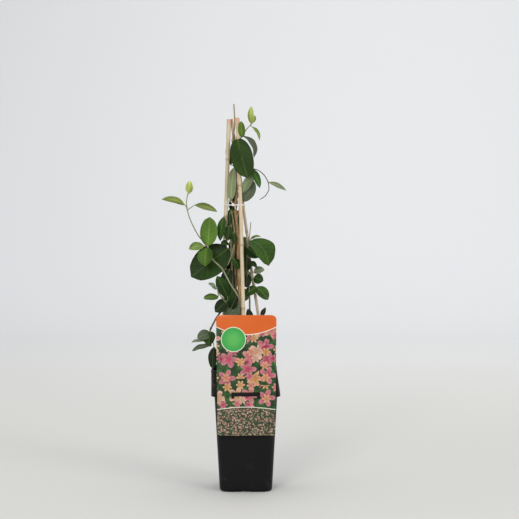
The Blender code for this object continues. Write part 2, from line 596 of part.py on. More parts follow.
def build_vine(name, stems, leaves, coll):
    """Build one leafy stem as a single body."""
    vine = tube(name, stems[0], coll)
    sprays = new_collection(name + "_sprays")
    for points in stems[1:]:
        tube("branch", points, sprays)
    for attach, foot, tip, width, face, bow, full in leaves:
        _, up, along = leaf_blade("blade", foot, tip, width, face, bow, full, sprays)
        length = (Vector(tip) - Vector(foot)).length
        sunk = min(5.0, length * 0.25)
        t = sunk / length
        inside = Vector(foot) + along * sunk + up * (bow * 4 * t * (1 - t))
        path = [(*attach, PETIOLE_RADIUS), (*foot, PETIOLE_RADIUS), (*inside, 0.6)]
        if (Vector(attach) - Vector(foot)).length < 1.0:
            path = path[1:]
        tube("petiole", path, sprays, fineness=0)
    join = vine.modifiers.new("join", "BOOLEAN")
    join.operation = "UNION"
    join.operand_type = "COLLECTION"
    join.solver = "MANIFOLD"
    join.collection = sprays
    flatten(vine)
    for obj in list(sprays.objects):
        bpy.data.objects.remove(obj)
    bpy.data.collections.remove(sprays)
    smooth(vine, 60)
    vine.data.materials.append(paint(name + "_green", (0.06, 0.13, 0.035), 0.5))


def main():
    """Build every piece."""
    for obj in list(bpy.data.objects):
        bpy.data.objects.remove(obj)
    coll = new_collection("honeysuckle_vine")
    work = new_collection("cutters")
    work.hide_render = True
    build_pot(coll, work)
    build_soil(coll, work)
    build_canes(coll)
    build_tie(coll, work)
    build_label(coll, work)
    for name, (stems, leaves) in VINES.items():
        build_vine(name, stems, leaves, coll)


main()
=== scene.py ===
import math
import random

import bmesh
import bpy
import numpy as np
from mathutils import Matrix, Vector


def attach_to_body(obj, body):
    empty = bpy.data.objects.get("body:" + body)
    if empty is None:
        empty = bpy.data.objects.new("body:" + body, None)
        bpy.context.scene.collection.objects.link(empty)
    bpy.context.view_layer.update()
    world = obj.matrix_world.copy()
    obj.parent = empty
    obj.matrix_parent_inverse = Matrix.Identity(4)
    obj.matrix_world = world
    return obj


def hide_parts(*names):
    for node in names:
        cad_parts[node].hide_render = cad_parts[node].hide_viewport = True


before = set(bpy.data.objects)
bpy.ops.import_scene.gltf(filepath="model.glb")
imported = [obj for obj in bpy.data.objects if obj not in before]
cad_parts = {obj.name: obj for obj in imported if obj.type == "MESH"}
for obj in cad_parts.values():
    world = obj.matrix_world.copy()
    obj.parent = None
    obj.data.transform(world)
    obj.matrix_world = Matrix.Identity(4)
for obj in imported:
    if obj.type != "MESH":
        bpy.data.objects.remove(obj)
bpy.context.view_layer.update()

MM = 0.001

# Pot: a tapered square tub with a wider stacking rim above it.
POT_WALL = 1.5
BASE_SIDE = 87.0
BODY_TOP_SIDE = 104.0
BODY_TOP = 160.0
RIM_LOW_SIDE = 114.4
RIM_TOP_SIDE = 108.0
RIM_TOP = 202.5
RIM_LEAN = -3.2
CORNER = 16.0
FOOT_GAP_WIDTH = 16.0
FOOT_GAP_HEIGHT = 3.0
CENTRE_PAD = 30.0
DRAIN_RADIUS = 4.0
DRAIN_REACH = 29.0
FOOT_GAP_REACH = 60.0
CUT_BELOW = -5.0
SHARP_ANGLE = 40.0

# Hook on the front of the rim that carries the label.
HOOK_WIDTH = 46.0
HOOK_LOW = 162.5
HOOK_TOP = 167.5
HOOK_FRONT = -64.5
HOOK_BACK = -56.0
HOOK_ROUND = 0.5
HOOK_LEG = 3.5
HOOK_LEG_LOW = 158.5

# Soil surface below the rim, and how deep canes and stems go.
SOIL_TOP = 190.0
CANE_DEPTH = 60.0
ROOT_DEPTH = 150.0

# Rough surface and loose crumbs on the soil.
SOIL_GRID = 120
SOIL_REACH = 53.6
SOIL_ROUND = 10.0
SOIL_SHIFT = -1.9
SOIL_SINK = 1.0
SOIL_WAVES = ((1, 0.5), (3, 1.2), (8, 2.5))
CRUMBS = 420

# Label: a printed card, slightly wider at its top.
LABEL_TOP_WIDTH = 99.0
LABEL_LOW_WIDTH = 95.0
LABEL_LOW = 97.0
LABEL_TOP = 295.0
LABEL_CENTRE = 1.0
LABEL_TOP_CORNER = 8.0
LABEL_LOW_CORNER = 2.5
LABEL_FRONT = -61.5
LABEL_BOW = 2.4
LABEL_SHEET = 0.5
LABEL_COLUMNS = 40
LABEL_ROWS = 90
SLOT_GAP = 0.6
SLOT_FRONT = -75.0
SLOT_BACK = -50.0

# Canes: radius, then places from the buried foot to the cut top.
CANES = {
    "cane_front": (3.25, [(0, -34, CANE_DEPTH), (-2, -26, 243), (-4, -22, 288), (-9, -9, 475),
                          (-11, -8, 525), (-14, -7, 620)]),
    "cane_left": (3.5, [(-37, 15, CANE_DEPTH), (-37, 10, 239), (-36, 6, 383), (-33, 1, 475),
                        (-28.5, 0, 618)]),
    "cane_right": (2.5, [(37, 34, CANE_DEPTH), (27, 29, 237), (7, 16, 379), (2, 12, 424),
                         (-5, 8, 475), (-24.5, 7, 619)]),
}

CANE_JOINT = (0.2, 0.12, 0.07)
CANE_TOP = (0.6, 0.33, 0.25)

# String round the three canes.
TIE_HEIGHT = 475.0
STRING_RADIUS = 0.95
KNOT = (-21.5, 477.0)
KNOT_LOOPS = ((2.1, 1.5, 0.4), (1.5, 1.9, -0.5), (2.0, 1.1, 1.0))
KNOT_THREAD = 0.62
STRING_TURNS = 44
STRING_COLOUR = (0.8, 0.8, 0.78)

# Ways in which the upper side of a leaf can look.
FRONT = (0.0, -1.0, 0.3)
FRONT_LEFT = (-0.4, -1.0, 0.3)
FRONT_RIGHT = (0.4, -1.0, 0.3)
UP = (0.0, -0.6, 1.0)
UP_LEFT = (-0.5, -0.6, 1.0)
UP_RIGHT = (0.5, -0.6, 1.0)
SIDE_RIGHT = (1.0, -0.5, 0.3)
FRONT_UP = (0.0, -1.0, 0.75)
TURNED_UP = (0.45, -0.8, 0.8)
ARCHED = (1.0, -0.55, 0.6)
BACK = (0.0, 1.0, 0.3)

# Stems: places along the centre line with the radius there.
MAIN = [(-9, 2, ROOT_DEPTH, 3.2), (-9, 2, 240, 3.2), (-10, 1, 285, 2.8), (-10.5, 0, 316, 2.7),
        (-12, 0, 366, 2.9), (-13.5, 0, 416, 2.8), (-16.5, 0, 458, 2.4), (-17.5, 0, 475, 2.2),
        (-16, 0, 496, 2.1), (-17, 0, 531, 2.0), (-22, 0, 583, 1.6), (-19, 0, 605, 1.4),
        (-19, 0, 617, 1.2), (-20, -1, 643, 1.1)]
TOP_SHOOT = [(-22, 0, 572, 0.9), (-17, 1, 580, 0.9), (-9, 1, 587, 0.8), (0, 0, 600, 0.8),
             (9, -2, 610, 0.7)]
SIDE_SHOOT = [(-19, 0, 550, 1.0), (-13, 1, 550, 0.9), (-3, 1, 545, 0.9), (10, -4, 536, 0.9),
              (20, -8, 533, 0.8), (30, -10, 525, 0.8), (37, -12, 513, 0.7), (38, -13, 500, 0.7),
              (32, -13, 490, 0.7), (23, -12, 484, 0.6)]
SIDE_TWIG = [(7, -3, 538, 0.8), (12, 0, 527, 0.8), (12, 0, 516, 0.8)]
SECOND_STEM = [(-17, 0, 541, 1.2), (-9, 0, 524, 1.3), (-7, 0, 496, 1.3), (-10, 1, 472, 1.2),
               (-16, 0, 451, 1.2)]
LEFT_SHOOT = [(-8, -13, ROOT_DEPTH, 1.5), (-8, -13, 241, 1.5), (-9, -14, 312, 1.4),
              (-25, -17, 342, 1.4), (-40, -21, 370, 1.3), (-56, -24, 386, 1.2),
              (-64, -26, 408, 1.1), (-77, -27, 422, 1.0), (-84, -28, 434, 1.0),
              (-92, -29, 451, 0.9), (-96, -30, 464, 0.9), (-98, -30, 476, 0.8),
              (-97, -30, 487, 0.8), (-95, -30, 495, 0.8)]
CENTRE = [(-17, 8, ROOT_DEPTH, 1.8), (-17, 8, 239, 1.8), (-19, 5, 285, 1.7), (-22, -1, 333, 1.6),
          (-24, -3, 380, 1.8), (-25, -4, 417, 2.1), (-25, -4, 447, 2.0), (-24, -4, 465, 1.6)]
CENTRE_FRONT = [(-24, -3, 380, 1.5), (-20, -7, 401, 1.6), (-19, -8, 426, 1.6), (-22, -6, 451, 1.5),
                (-25, -5, 463, 1.2)]
CENTRE_REAR = [(-19, 5, 285, 1.8), (-17, 8, 336, 1.8), (-19, 8, 380, 1.8), (-20, 8, 416, 1.9),
               (-18, 8, 446, 1.7), (-20, 7, 464, 1.4)]
CENTRE_TWIG = [(-19, -8, 414, 0.8), (-23, -11, 395, 0.9), (-28, -12, 380, 0.9),
               (-31, -12, 374, 0.8)]
RIGHT = [(7, 7, ROOT_DEPTH, 1.7), (7, 7, 239, 1.7), (6, 4, 315, 1.5), (3, 2, 366, 1.3),
         (2, 1, 406, 1.1), (6, 1, 423, 0.8), (8, 1, 446, 0.7)]
RIGHT_LOW = [(5, 4, 329, 0.9), (12, 6, 332, 0.9), (18, 9, 337, 0.9)]
RIGHT_BACK = [(7, 7, 251, 0.9), (17, 9, 264, 0.9), (25, 11, 287, 0.9)]
LOW_LEFT = [(-28, -8, ROOT_DEPTH, 1.7), (-28, -8, 241, 1.7), (-28, -9, 275, 1.6),
            (-28, -12, 296, 1.4), (-31, -18, 310, 1.2), (-39, -23, 320, 1.0),
            (-46, -25, 330, 0.9), (-48, -24, 339, 0.8)]
LOW_BRANCH = [(-28, -9, 280, 1.5), (-35, -12, 297, 1.5), (-40, -15, 299, 1.5),
              (-50, -26, 286, 1.5), (-59, -38, 269, 1.3)]
REAR = [(-11, 30, ROOT_DEPTH, 1.8), (-11, 30, 237, 1.8), (-12, 28, 314, 1.6), (-16, 24, 382, 1.4),
        (-17, 20, 441, 1.2), (-15, 20, 460, 0.9)]

# Leaves: where the petiole leaves the stem, the foot of the blade, its tip, its width,
# the way its upper side looks, the bow of the midrib, and how full its outline is.
MAIN_LEAVES = [
    ((8, -2, 609), (9, -2, 611), (9, -6, 639), 11, FRONT_LEFT, 2, 0.6),
    ((9, -2, 610), (11, 1, 612), (15, 7, 625), 7, FRONT_RIGHT, 1, 0.8),
    ((8, -2, 608), (9, -3, 606), (23, -12, 583), 9, UP_RIGHT, 4, 0.8),
    ((-5, 0, 593), (-6, -7, 588), (-8, -13, 614), 12, FRONT, 2, 0.45),
    ((-17, 1, 580), (-16, 1, 583), (-6, 5, 597), 8, UP, 2, 0.8),
    ((-7, 0, 588), (-4, 3, 590), (14, 3, 555), 22, ARCHED, 8, 0.5),
    ((-22, 0, 582), (-14, -14, 584), (3, -19, 520), 37, FRONT, 3, 0.42),
    ((-22, 0, 582), (-17, -13, 581), (-14, -14, 529), 18, FRONT_LEFT, 1, 0.5),
    ((8, -3, 537), (11, -6, 535), (23, -12, 503), 13, FRONT_RIGHT, 3, 0.7),
    ((37, -12, 513), (38, -12, 513), (67, -18, 499), 9, FRONT_UP, 3, 0.8),
    ((-18, 0, 476), (-25, -8, 484), (-21, -8, 537), 15, FRONT, 1, 0.42),
    ((-16, 0, 495), (-6, -3, 496), (13, -8, 529), 15, FRONT, 2, 0.55),
    ((12, 0, 517), (13, 0, 514), (-4, 1, 480), 20, FRONT_RIGHT, 1, 0.6),
    ((-19, 0, 541), (-25, 6, 542), (-32, 10, 574), 11, FRONT_LEFT, 1, 0.7),
    ((-16, 0, 502), (-18, 5, 502), (-19, 7, 480), 11, FRONT, 1, 0.5),
]
LEFT_LEAVES = [
    ((-95, -30, 495), (-94, -30, 494), (-92, -33, 515), 12, FRONT, 1, 0.6),
    ((-95, -30, 495), (-94, -30, 495), (-88, -28, 507), 7, SIDE_RIGHT, 1, 0.8),
    ((-98, -30, 471), (-101, -30, 475), (-139, -34, 484), 13, FRONT_UP, 7, 0.7),
    ((-96, -30, 467), (-84, -31, 475), (-47, -36, 464), 13, FRONT_UP, 4, 0.7),
    ((-64, -26, 408), (-63, -27, 408), (-60, -22, 455), 29, FRONT, 2, 0.5),
    ((-66, -26, 409), (-70, -26, 407), (-94, -33, 402), 17, FRONT_UP, 3, 0.6),
    ((-64, -26, 408), (-64, -27, 404), (-67, -36, 374), 28, FRONT_LEFT, 3, 0.6),
]
CENTRE_LEAVES = [
    ((-25, -3, 400), (-30, -4, 402), (-92, -5, 355), 53, FRONT, 1, 0.5),
    ((-25, -4, 424), (-37, -7, 455), (-43, -7, 415), 15, FRONT_LEFT, 2, 0.7),
    ((-25, -4, 437), (-28, -8, 441), (-31, -10, 415), 15, FRONT, 2, 0.7),
    ((-25, -4, 412), (-28, -7, 410), (-42, -12, 409), 17, UP, 2, 0.6),
    ((-25, -4, 430), (-22, -11, 430), (-18, -12, 409), 10, FRONT_RIGHT, 1, 0.7),
    ((-19, 8, 380), (-20, 12, 381), (-34, 15, 358), 20, FRONT, 1, 0.6),
    ((-17, 8, 341), (-18, 12, 341), (-32, 15, 324), 20, FRONT, 1, 0.6),
    ((-18, 8, 361), (-16, 11, 362), (-4, 13, 346), 18, FRONT, 1, 0.6),
    ((-21, 7, 411), (-20, 11, 412), (-9, 12, 396), 16, FRONT, 1, 0.6),
    ((-25, 6, 439), (-24, 9, 441), (-15, 10, 424), 14, FRONT, 1, 0.6),
    ((-17, 8, 331), (-15, 11, 329), (-6, 12, 308), 16, FRONT, 1, 0.6),
    ((-24, -3, 388), (-21, -8, 386), (-11, -9, 368), 15, FRONT_RIGHT, 1, 0.6),
    ((-17, 8, 348), (-22, 11, 352), (-25, 12, 326), 15, FRONT, 1, 0.6),
    ((-19, 8, 396), (-19, 11, 398), (-24, 12, 376), 14, FRONT, 1, 0.6),
    ((-20, 8, 445), (-22, 12, 445), (-26, 13, 469), 15, FRONT, 1, 0.5),
    ((-18, 8, 444), (-15, 12, 442), (-13, 13, 466), 13, FRONT, 1, 0.5),
    ((-20, 8, 426), (-25, 12, 426), (-30, 13, 448), 14, FRONT, 1, 0.5),
    ((-19, 8, 421), (-14, 12, 419), (-12, 13, 443), 13, FRONT, 1, 0.5),
    ((-20, 8, 414), (-23, 12, 417), (-21, 13, 394), 15, FRONT, 1, 0.5),
    ((-17, 8, 348), (-20, 12, 368), (-20, 13, 342), 16, FRONT, 1, 0.5),
    ((-23, -2, 356), (-27, -7, 368), (-37, -9, 341), 19, FRONT, 1, 0.5),
    ((-24, -4, 458), (-27, -8, 462), (-27, -9, 442), 8, FRONT, 1, 0.5),
    ((-20, 7, 463), (-23, 15, 464), (-20, 17, 492), 15, FRONT, 1, 0.5),
    ((-19, 8, 394), (-14, 12, 398), (-10, 13, 375), 13, FRONT, 1, 0.5),
]
RIGHT_LEAVES = [
    ((2, 1, 408), (9, -3, 416), (38, -14, 374), 46, TURNED_UP, 11, 0.5),
    ((2, 1, 404), (3, 0, 404), (21, -6, 387), 22, FRONT, 2, 0.6),
    ((4, 1, 418), (7, -1, 417), (25, -4, 422), 8, UP, 3, 0.8),
    ((4, 3, 352), (13, 4, 362), (31, 2, 367), 15, FRONT_UP, 2, 0.65),
    ((3, 2, 369), (5, 0, 380), (18, -4, 370), 12, UP, 2, 0.7),
    ((5, 3, 342), (13, 5, 353), (29, 2, 348), 18, FRONT, 2, 0.6),
    ((3, 2, 369), (1, -3, 365), (2, -7, 388), 16, FRONT, 1, 0.5),
    ((4, 2, 356), (2, -2, 359), (1, -6, 337), 16, FRONT, 1, 0.5),
    ((18, 9, 337), (18, 8, 337), (-2, 1, 322), 17, FRONT_UP, 2, 0.6),
    ((18, 9, 337), (18, 8, 337), (37, 2, 316), 20, FRONT_UP, 3, 0.6),
    ((25, 11, 286), (25, 11, 287), (33, 8, 303), 8, FRONT, 1, 0.8),
    ((7, 6, 273), (9, 5, 279), (3, 3, 301), 12, FRONT, 1, 0.6),
    ((2, 1, 388), (0, 4, 380), (-3, 5, 406), 11, FRONT, 1, 0.5),
]
LOW_LEFT_LEAVES = [
    ((-48, -24, 338), (-50, -25, 335), (-62, -30, 346), 11, UP_LEFT, 2, 0.7),
    ((-46, -25, 330), (-46, -26, 322), (-70, -32, 321), 13, FRONT_UP, 2, 0.45),
    ((-28, -12, 298), (-31, -13, 322), (-48, -19, 357), 21, FRONT, 2, 0.6),
    ((-28, -12, 298), (-29, -10, 310), (-27, -11, 339), 17, FRONT, 1, 0.5),
    ((-31, -18, 310), (-30, -18, 317), (-51, -22, 297), 21, FRONT, 2, 0.6),
    ((-28, -10, 296), (-25, -19, 302), (-16, -23, 322), 14, FRONT, 2, 0.6),
    ((-28, -9, 284), (-32, -14, 283), (-13, -20, 313), 26, FRONT, 2, 0.5),
    ((-58, -37, 271), (-59, -38, 264), (-80, -50, 256), 18, FRONT, 2, 0.6),
    ((-59, -38, 269), (-58, -39, 266), (-60, -49, 244), 22, FRONT_LEFT, 2, 0.6),
    ((-59, -38, 269), (-66, -42, 250), (-89, -54, 249), 12, UP_LEFT, 2, 0.6),
    ((-59, -38, 269), (-57, -45, 244), (-88, -56, 236), 16, UP_LEFT, 2, 0.6),
    ((-59, -38, 269), (-52, -46, 241), (-54, -49, 205), 16, FRONT_LEFT, 2, 0.6),
]
REAR_LEAVES = [
    ((-16, 24, 378), (-17, 28, 378), (-41, 36, 361), 34, BACK, 3, 0.5),
    ((-16, 21, 421), (-15, 26, 417), (3, 36, 395), 30, BACK, 3, 0.6),
    ((-15, 25, 364), (-14, 30, 361), (6, 42, 342), 28, BACK, 3, 0.6),
    ((-13, 28, 330), (-16, 33, 330), (-34, 42, 307), 30, BACK, 3, 0.5),
    ((-17, 20, 441), (-19, 24, 443), (-29, 30, 419), 22, BACK, 2, 0.6),
    ((-12, 28, 318), (-9, 34, 318), (8, 44, 326), 22, BACK, 3, 0.6),
    ((-16, 24, 388), (-17, 28, 392), (-52, 38, 382), 30, BACK, 3, 0.6),
    ((-12, 29, 286), (-14, 33, 284), (-40, 42, 288), 26, BACK, 3, 0.6),
    ((-16, 22, 426), (-15, 25, 429), (-22, 30, 451), 20, BACK, 2, 0.6),
]
VINES = {
    "vine_main": ([MAIN, TOP_SHOOT, SIDE_SHOOT, SIDE_TWIG, SECOND_STEM], MAIN_LEAVES),
    "vine_left_shoot": ([LEFT_SHOOT], LEFT_LEAVES),
    "vine_centre": ([CENTRE, CENTRE_FRONT, CENTRE_REAR, CENTRE_TWIG], CENTRE_LEAVES),
    "vine_right": ([RIGHT, RIGHT_LOW, RIGHT_BACK], RIGHT_LEAVES),
    "vine_low_left": ([LOW_LEFT, LOW_BRANCH], LOW_LEFT_LEAVES),
    "vine_rear": ([REAR], REAR_LEAVES),
}

# Look of each leaf, in the order of its table: y young yellow-green, p pale, b bright,
# c fresh, m mid green, d dark green that is partly painted shade, k very dark as painted shade
# for leaves deep in the plant's shadow, g a grey-green underside turned to the viewer, and G
# the same underside darkened as painted shade.
LEAF_LOOKS = {
    "vine_main": "yypbmGddmgggGdk",
    "vine_left_shoot": "yyppbpc",
    "vine_centre": "dmdddkkkkdkdkkmddkkkkkkk",
    "vine_right": "mdbgddkkmmkkk",
    "vine_low_left": "gcddkkGGdgGk",
    "vine_rear": "dmdmdmdmd",
}
LEAF_COLOURS = {
    "y": (0.3, 0.38, 0.09),
    "p": (0.13, 0.185, 0.045),
    "b": (0.084, 0.152, 0.017),
    "c": (0.052, 0.106, 0.014),
    "m": (0.025, 0.064, 0.008),
    # d, k and G hold painted shade: dark colours for leaves that sit in shadow.
    "d": (0.013, 0.036, 0.003),
    "k": (0.008, 0.018, 0.003),
    "g": (0.17, 0.22, 0.115),
    "G": (0.025, 0.04, 0.022),
}
STEM_COLOURS = {
    "vine_main": (0.30, 0.165, 0.06),
    "vine_left_shoot": (0.19, 0.21, 0.12),
    "vine_centre": (0.13, 0.115, 0.045),
    "vine_right": (0.1, 0.09, 0.045),
    "vine_low_left": (0.03, 0.035, 0.018),
    "vine_rear": (0.1, 0.08, 0.045),
}
GREEN_STEM = (0.15, 0.19, 0.08)
# Painted shade: a near-black stem colour for the branches that run in shadow.
SHADED_STEM = (0.02, 0.02, 0.012)
LEAF_SCAR = (0.16, 0.07, 0.035)
# Branches that get the painted-shade stem colour.
SHADED_BRANCHES = {("vine_main", 2), ("vine_main", 4), ("vine_right", 1), ("vine_right", 2)}
BLADE_THICK = 0.4
BLADE_COLUMNS = 10
BLADE_ROWS = 26

# Studio, in metres.
SWEEP_START = 2.8
SWEEP_RADIUS = 1.5
SWEEP_STEPS = 24
FLOOR_REACH = 9.0
BACKDROP_TOP = 4.0
LIGHTS = {
    "key": ((-0.75, -2.5, 1.15), (0, 0, 0.3), 0.75, 30),
    "fill": ((1.9, -1.9, 1.1), (0, 0, 0.3), 0.9, 22),
    "top": ((0.0, 0.6, 2.6), (0, 0.4, 0), 2.0, 12),
    "backdrop": ((0.9, 1.5, 3.0), (0.5, 4.3, 1.5), 2.4, 46),
}

# Camera, in millimetres and degrees, and the photograph's scale at the pot's axis.
CAMERA_DISTANCE = 2400.0
CAMERA_PITCH = 2.0
CAMERA_AIM = (22.6, 383.8)
SENSOR_WIDTH = 36.0
PICTURE_WIDTH = 519
MM_PER_PIXEL = 1.675


def link_object(name, data):
    """Put a mesh, a light or a camera into the scene."""
    obj = bpy.data.objects.new(name, data)
    bpy.context.scene.collection.objects.link(obj)
    return obj


def new_object(name, verts, faces, mat):
    """Make a smoothly shaded mesh object with one material."""
    mesh = bpy.data.meshes.new(name)
    mesh.from_pydata([tuple(v) for v in verts], [], [tuple(f) for f in faces])
    mesh.update()
    mesh.shade_smooth()
    mesh.materials.append(mat)
    return link_object(name, mesh)


def from_bmesh(name, bm):
    """Make an object of a bmesh."""
    mesh = bpy.data.meshes.new(name)
    bm.to_mesh(mesh)
    bm.free()
    return link_object(name, mesh)


def set_box(bm, verts, low, high):
    """Stretch a shape of unit size between two corners in millimetres."""
    bmesh.ops.scale(bm, vec=[(b - a) * MM for a, b in zip(low, high)], verts=verts)
    bmesh.ops.translate(bm, vec=[(b + a) / 2 * MM for a, b in zip(low, high)], verts=verts)


def grid_faces(rows, cols, base=0):
    """Faces over a grid of points."""
    corners = [base + r * cols + c for r in range(rows - 1) for c in range(cols - 1)]
    return [(a, a + 1, a + 1 + cols, a + cols) for a in corners]


def sheet_faces(rows, cols, base=0):
    """Faces of a thin sheet: two grids of points, one behind the other, and the edge round them."""
    count = rows * cols
    faces = []
    for quad in grid_faces(rows, cols, base):
        faces += [quad, tuple(i + count for i in reversed(quad))]
    ring = list(range(cols)) + [r * cols + cols - 1 for r in range(1, rows)]
    ring += [(rows - 1) * cols + c for c in range(cols - 2, -1, -1)]
    ring += [r * cols for r in range(rows - 2, 0, -1)]
    for a, b in zip(ring, ring[1:] + ring[:1]):
        faces.append((base + b, base + a, base + a + count, base + b + count))
    return faces


def tube_faces(rings, sides, base=0, closed=False):
    """Faces between rings of points."""
    faces = []
    for i in range(rings if closed else rings - 1):
        a, b = base + i * sides, base + (i + 1) % rings * sides
        for k in range(sides):
            after = (k + 1) % sides
            faces.append((a + k, a + after, b + after, b + k))
    return faces


def unit(vectors):
    """Bring each vector of an array to length one."""
    return vectors / (np.linalg.norm(vectors, axis=-1, keepdims=True) + 1e-12)


def blend(colour, other, share):
    """Mix a colour into others by a share for each of them."""
    return colour * (1 - share) + np.array(other) * share


def set_colours(obj, name, colours):
    """Store one colour for each vertex."""
    layer = obj.data.color_attributes.new(name, "FLOAT_COLOR", "POINT")
    flat = np.ones((len(colours), 4), np.float32)
    flat[:, :3] = colours
    layer.data.foreach_set("color", flat.ravel())


def set_uv(obj, name, coords):
    """Store a UV map from one place for each vertex."""
    layer = obj.data.uv_layers.new(name=name)
    index = np.empty(len(obj.data.loops), np.int32)
    obj.data.loops.foreach_get("vertex_index", index)
    layer.data.foreach_set("uv", np.asarray(coords, np.float32)[index].ravel())


class Shader:
    """A small helper that wires the nodes of one material."""

    def __init__(self, name):
        self.mat = bpy.data.materials.new(name)
        self.mat.use_nodes = True
        self.tree = self.mat.node_tree
        self.principled = self.tree.nodes["Principled BSDF"]

    def feed(self, socket, value):
        if isinstance(value, bpy.types.NodeSocket):
            self.tree.links.new(value, socket)
        elif isinstance(value, (tuple, list)) and len(value) == 3 and socket.type == "RGBA":
            socket.default_value = (*value, 1.0)
        else:
            socket.default_value = value

    def node(self, kind, inputs, **settings):
        made = self.tree.nodes.new(kind)
        for key, value in settings.items():
            setattr(made, key, value)
        for key, value in inputs.items():
            self.feed(made.inputs[key], value)
        return made.outputs

    def math(self, operation, a, b=0.0):
        return self.node("ShaderNodeMath", {0: a, 1: b}, operation=operation)[0]

    def times(self, a, b):
        return self.math("MULTIPLY", a, b)

    def plus(self, a, b):
        return self.math("ADD", a, b)

    def minus(self, a, b):
        return self.math("SUBTRACT", a, b)

    def size(self, a):
        return self.math("ABSOLUTE", a)

    def length(self, x, y):
        return self.math("SQRT", self.plus(self.times(x, x), self.times(y, y)))

    def step(self, value, low, high):
        return self.node("ShaderNodeMapRange", {"Value": value, "From Min": low, "From Max": high},
                         interpolation_type="SMOOTHSTEP")[0]

    def until(self, value, low, high):
        return self.minus(1.0, self.step(value, low, high))

    def mix(self, factor, a, b, blend_type="MIX"):
        return self.node("ShaderNodeMix", {0: factor, 6: a, 7: b}, data_type="RGBA",
                         blend_type=blend_type)[2]

    def tint(self, colour, factor):
        return self.mix(1.0, colour, factor, "MULTIPLY")

    def vector(self, operation, a, b):
        return self.node("ShaderNodeVectorMath", {0: a, 1: b}, operation=operation)[0]

    def coords(self, uv=None):
        if uv is None:
            return self.node("ShaderNodeTexCoord", {})["Object"]
        return self.node("ShaderNodeUVMap", {}, uv_map=uv)[0]

    def split(self, vector):
        return self.node("ShaderNodeSeparateXYZ", {0: vector})

    def join(self, x, y):
        return self.node("ShaderNodeCombineXYZ", {0: x, 1: y})[0]

    def stretch(self, vector, scale, shift=(0, 0, 0)):
        return self.node("ShaderNodeMapping",
                         {"Vector": vector, "Scale": scale, "Location": shift})[0]

    def noise(self, vector, scale, detail=4.0, rough=0.55):
        return self.node("ShaderNodeTexNoise", {"Vector": vector, "Scale": scale, "Detail": detail,
                                                "Roughness": rough})["Fac"]

    def cells(self, vector, scale, randomness=1.0):
        return self.node("ShaderNodeTexVoronoi",
                         {"Vector": vector, "Scale": scale, "Randomness": randomness})

    def ramp(self, value, stops):
        made = self.node("ShaderNodeValToRGB", {0: value})
        elements = made[0].node.color_ramp.elements
        while len(elements) < len(stops):
            elements.new(0.5)
        for element, (place, colour) in zip(elements, stops):
            element.position = place
            element.color = (*colour, 1.0)
        return made[0]

    def attribute(self, name):
        return self.node("ShaderNodeVertexColor", {}, layer_name=name)[0]

    def bump(self, height, strength, distance):
        made = self.node("ShaderNodeBump", {"Height": height, "Strength": strength,
                                            "Distance": distance})
        self.feed(self.principled.inputs["Normal"], made[0])

    def finish(self, colour, roughness, specular=0.5):
        self.feed(self.principled.inputs["Base Color"], colour)
        self.feed(self.principled.inputs["Roughness"], roughness)
        self.principled.inputs["Specular IOR Level"].default_value = specular
        return self.mat


def leaf_material():
    """Green blade with a pale midrib, arching side veins and a grey-green underside."""
    s = Shader("leaf_blade")
    own = s.attribute("tone")
    place = s.split(s.coords("blade"))
    real = s.split(s.coords("size"))
    side = s.times(s.minus(place[0], 0.5), 2.0)
    flank = s.size(side)
    away = s.size(real[0])
    midrib = s.until(away, 0.25, 0.75)
    halo = s.until(away, 0.4, 3.2)
    stagger = s.times(s.math("SIGN", side), 0.22)
    climb = s.times(s.math("POWER", flank, 1.25), 1.35)
    run = s.minus(s.plus(s.times(place[1], 6.5), stagger), climb)
    gap = s.size(s.minus(s.math("FRACT", run), 0.5))
    rib = s.until(gap, 0.02, 0.085)
    rib = s.times(rib, s.until(flank, 0.72, 0.97))
    net = s.cells(s.join(s.times(real[0], 0.42), s.times(real[1], 0.42)), 1.0)
    mesh_line = s.until(net["Distance"], 0.1, 0.75)
    world = s.coords()
    blotch = s.noise(world, 55.0, 4.0)
    fine = s.noise(world, 420.0, 3.0)
    pale = s.tint(own, (2.3, 1.9, 2.2))
    deep = s.tint(own, (0.62, 0.72, 0.6))
    colour = s.mix(blotch, deep, s.mix(0.1, own, pale))
    colour = s.mix(s.times(fine, 0.22), colour, deep)
    colour = s.mix(s.times(mesh_line, 0.2), colour, deep)
    colour = s.mix(s.times(halo, 0.16), colour, pale)
    colour = s.mix(s.times(rib, 0.42), colour, pale)
    colour = s.mix(s.times(midrib, 0.55), colour, s.mix(0.25, pale, (0.3, 0.36, 0.15)))
    edge = s.step(flank, 0.93, 1.0)
    colour = s.mix(s.times(edge, 0.35), colour, pale)
    # The underside takes in the blade's own tone, so the painted shade of dark leaves carries onto
    # their undersides.
    grey = s.mix(0.55, (0.125, 0.155, 0.085), own)
    back = s.mix(blotch, s.tint(grey, (0.8, 0.8, 0.8)), s.tint(grey, (1.25, 1.2, 1.3)))
    back = s.mix(s.times(rib, 0.5), back, s.tint(grey, (1.7, 1.6, 1.5)))
    back = s.mix(s.times(midrib, 0.7), back, s.tint(grey, (2.2, 2.0, 1.7)))
    under = s.split(s.attribute("under"))[0]
    colour = s.mix(under, colour, back)
    furrow = s.times(s.plus(midrib, s.times(rib, 0.6)), -1.0)
    pillow = s.times(s.math("SINE", s.times(gap, math.pi)), -0.8)
    grain = s.times(fine, 0.25)
    height = s.plus(s.plus(furrow, pillow), grain)
    s.bump(height, 0.55, 0.0006)
    rough = s.plus(0.42, s.times(blotch, 0.2))
    return s.finish(colour, rough, 0.14)


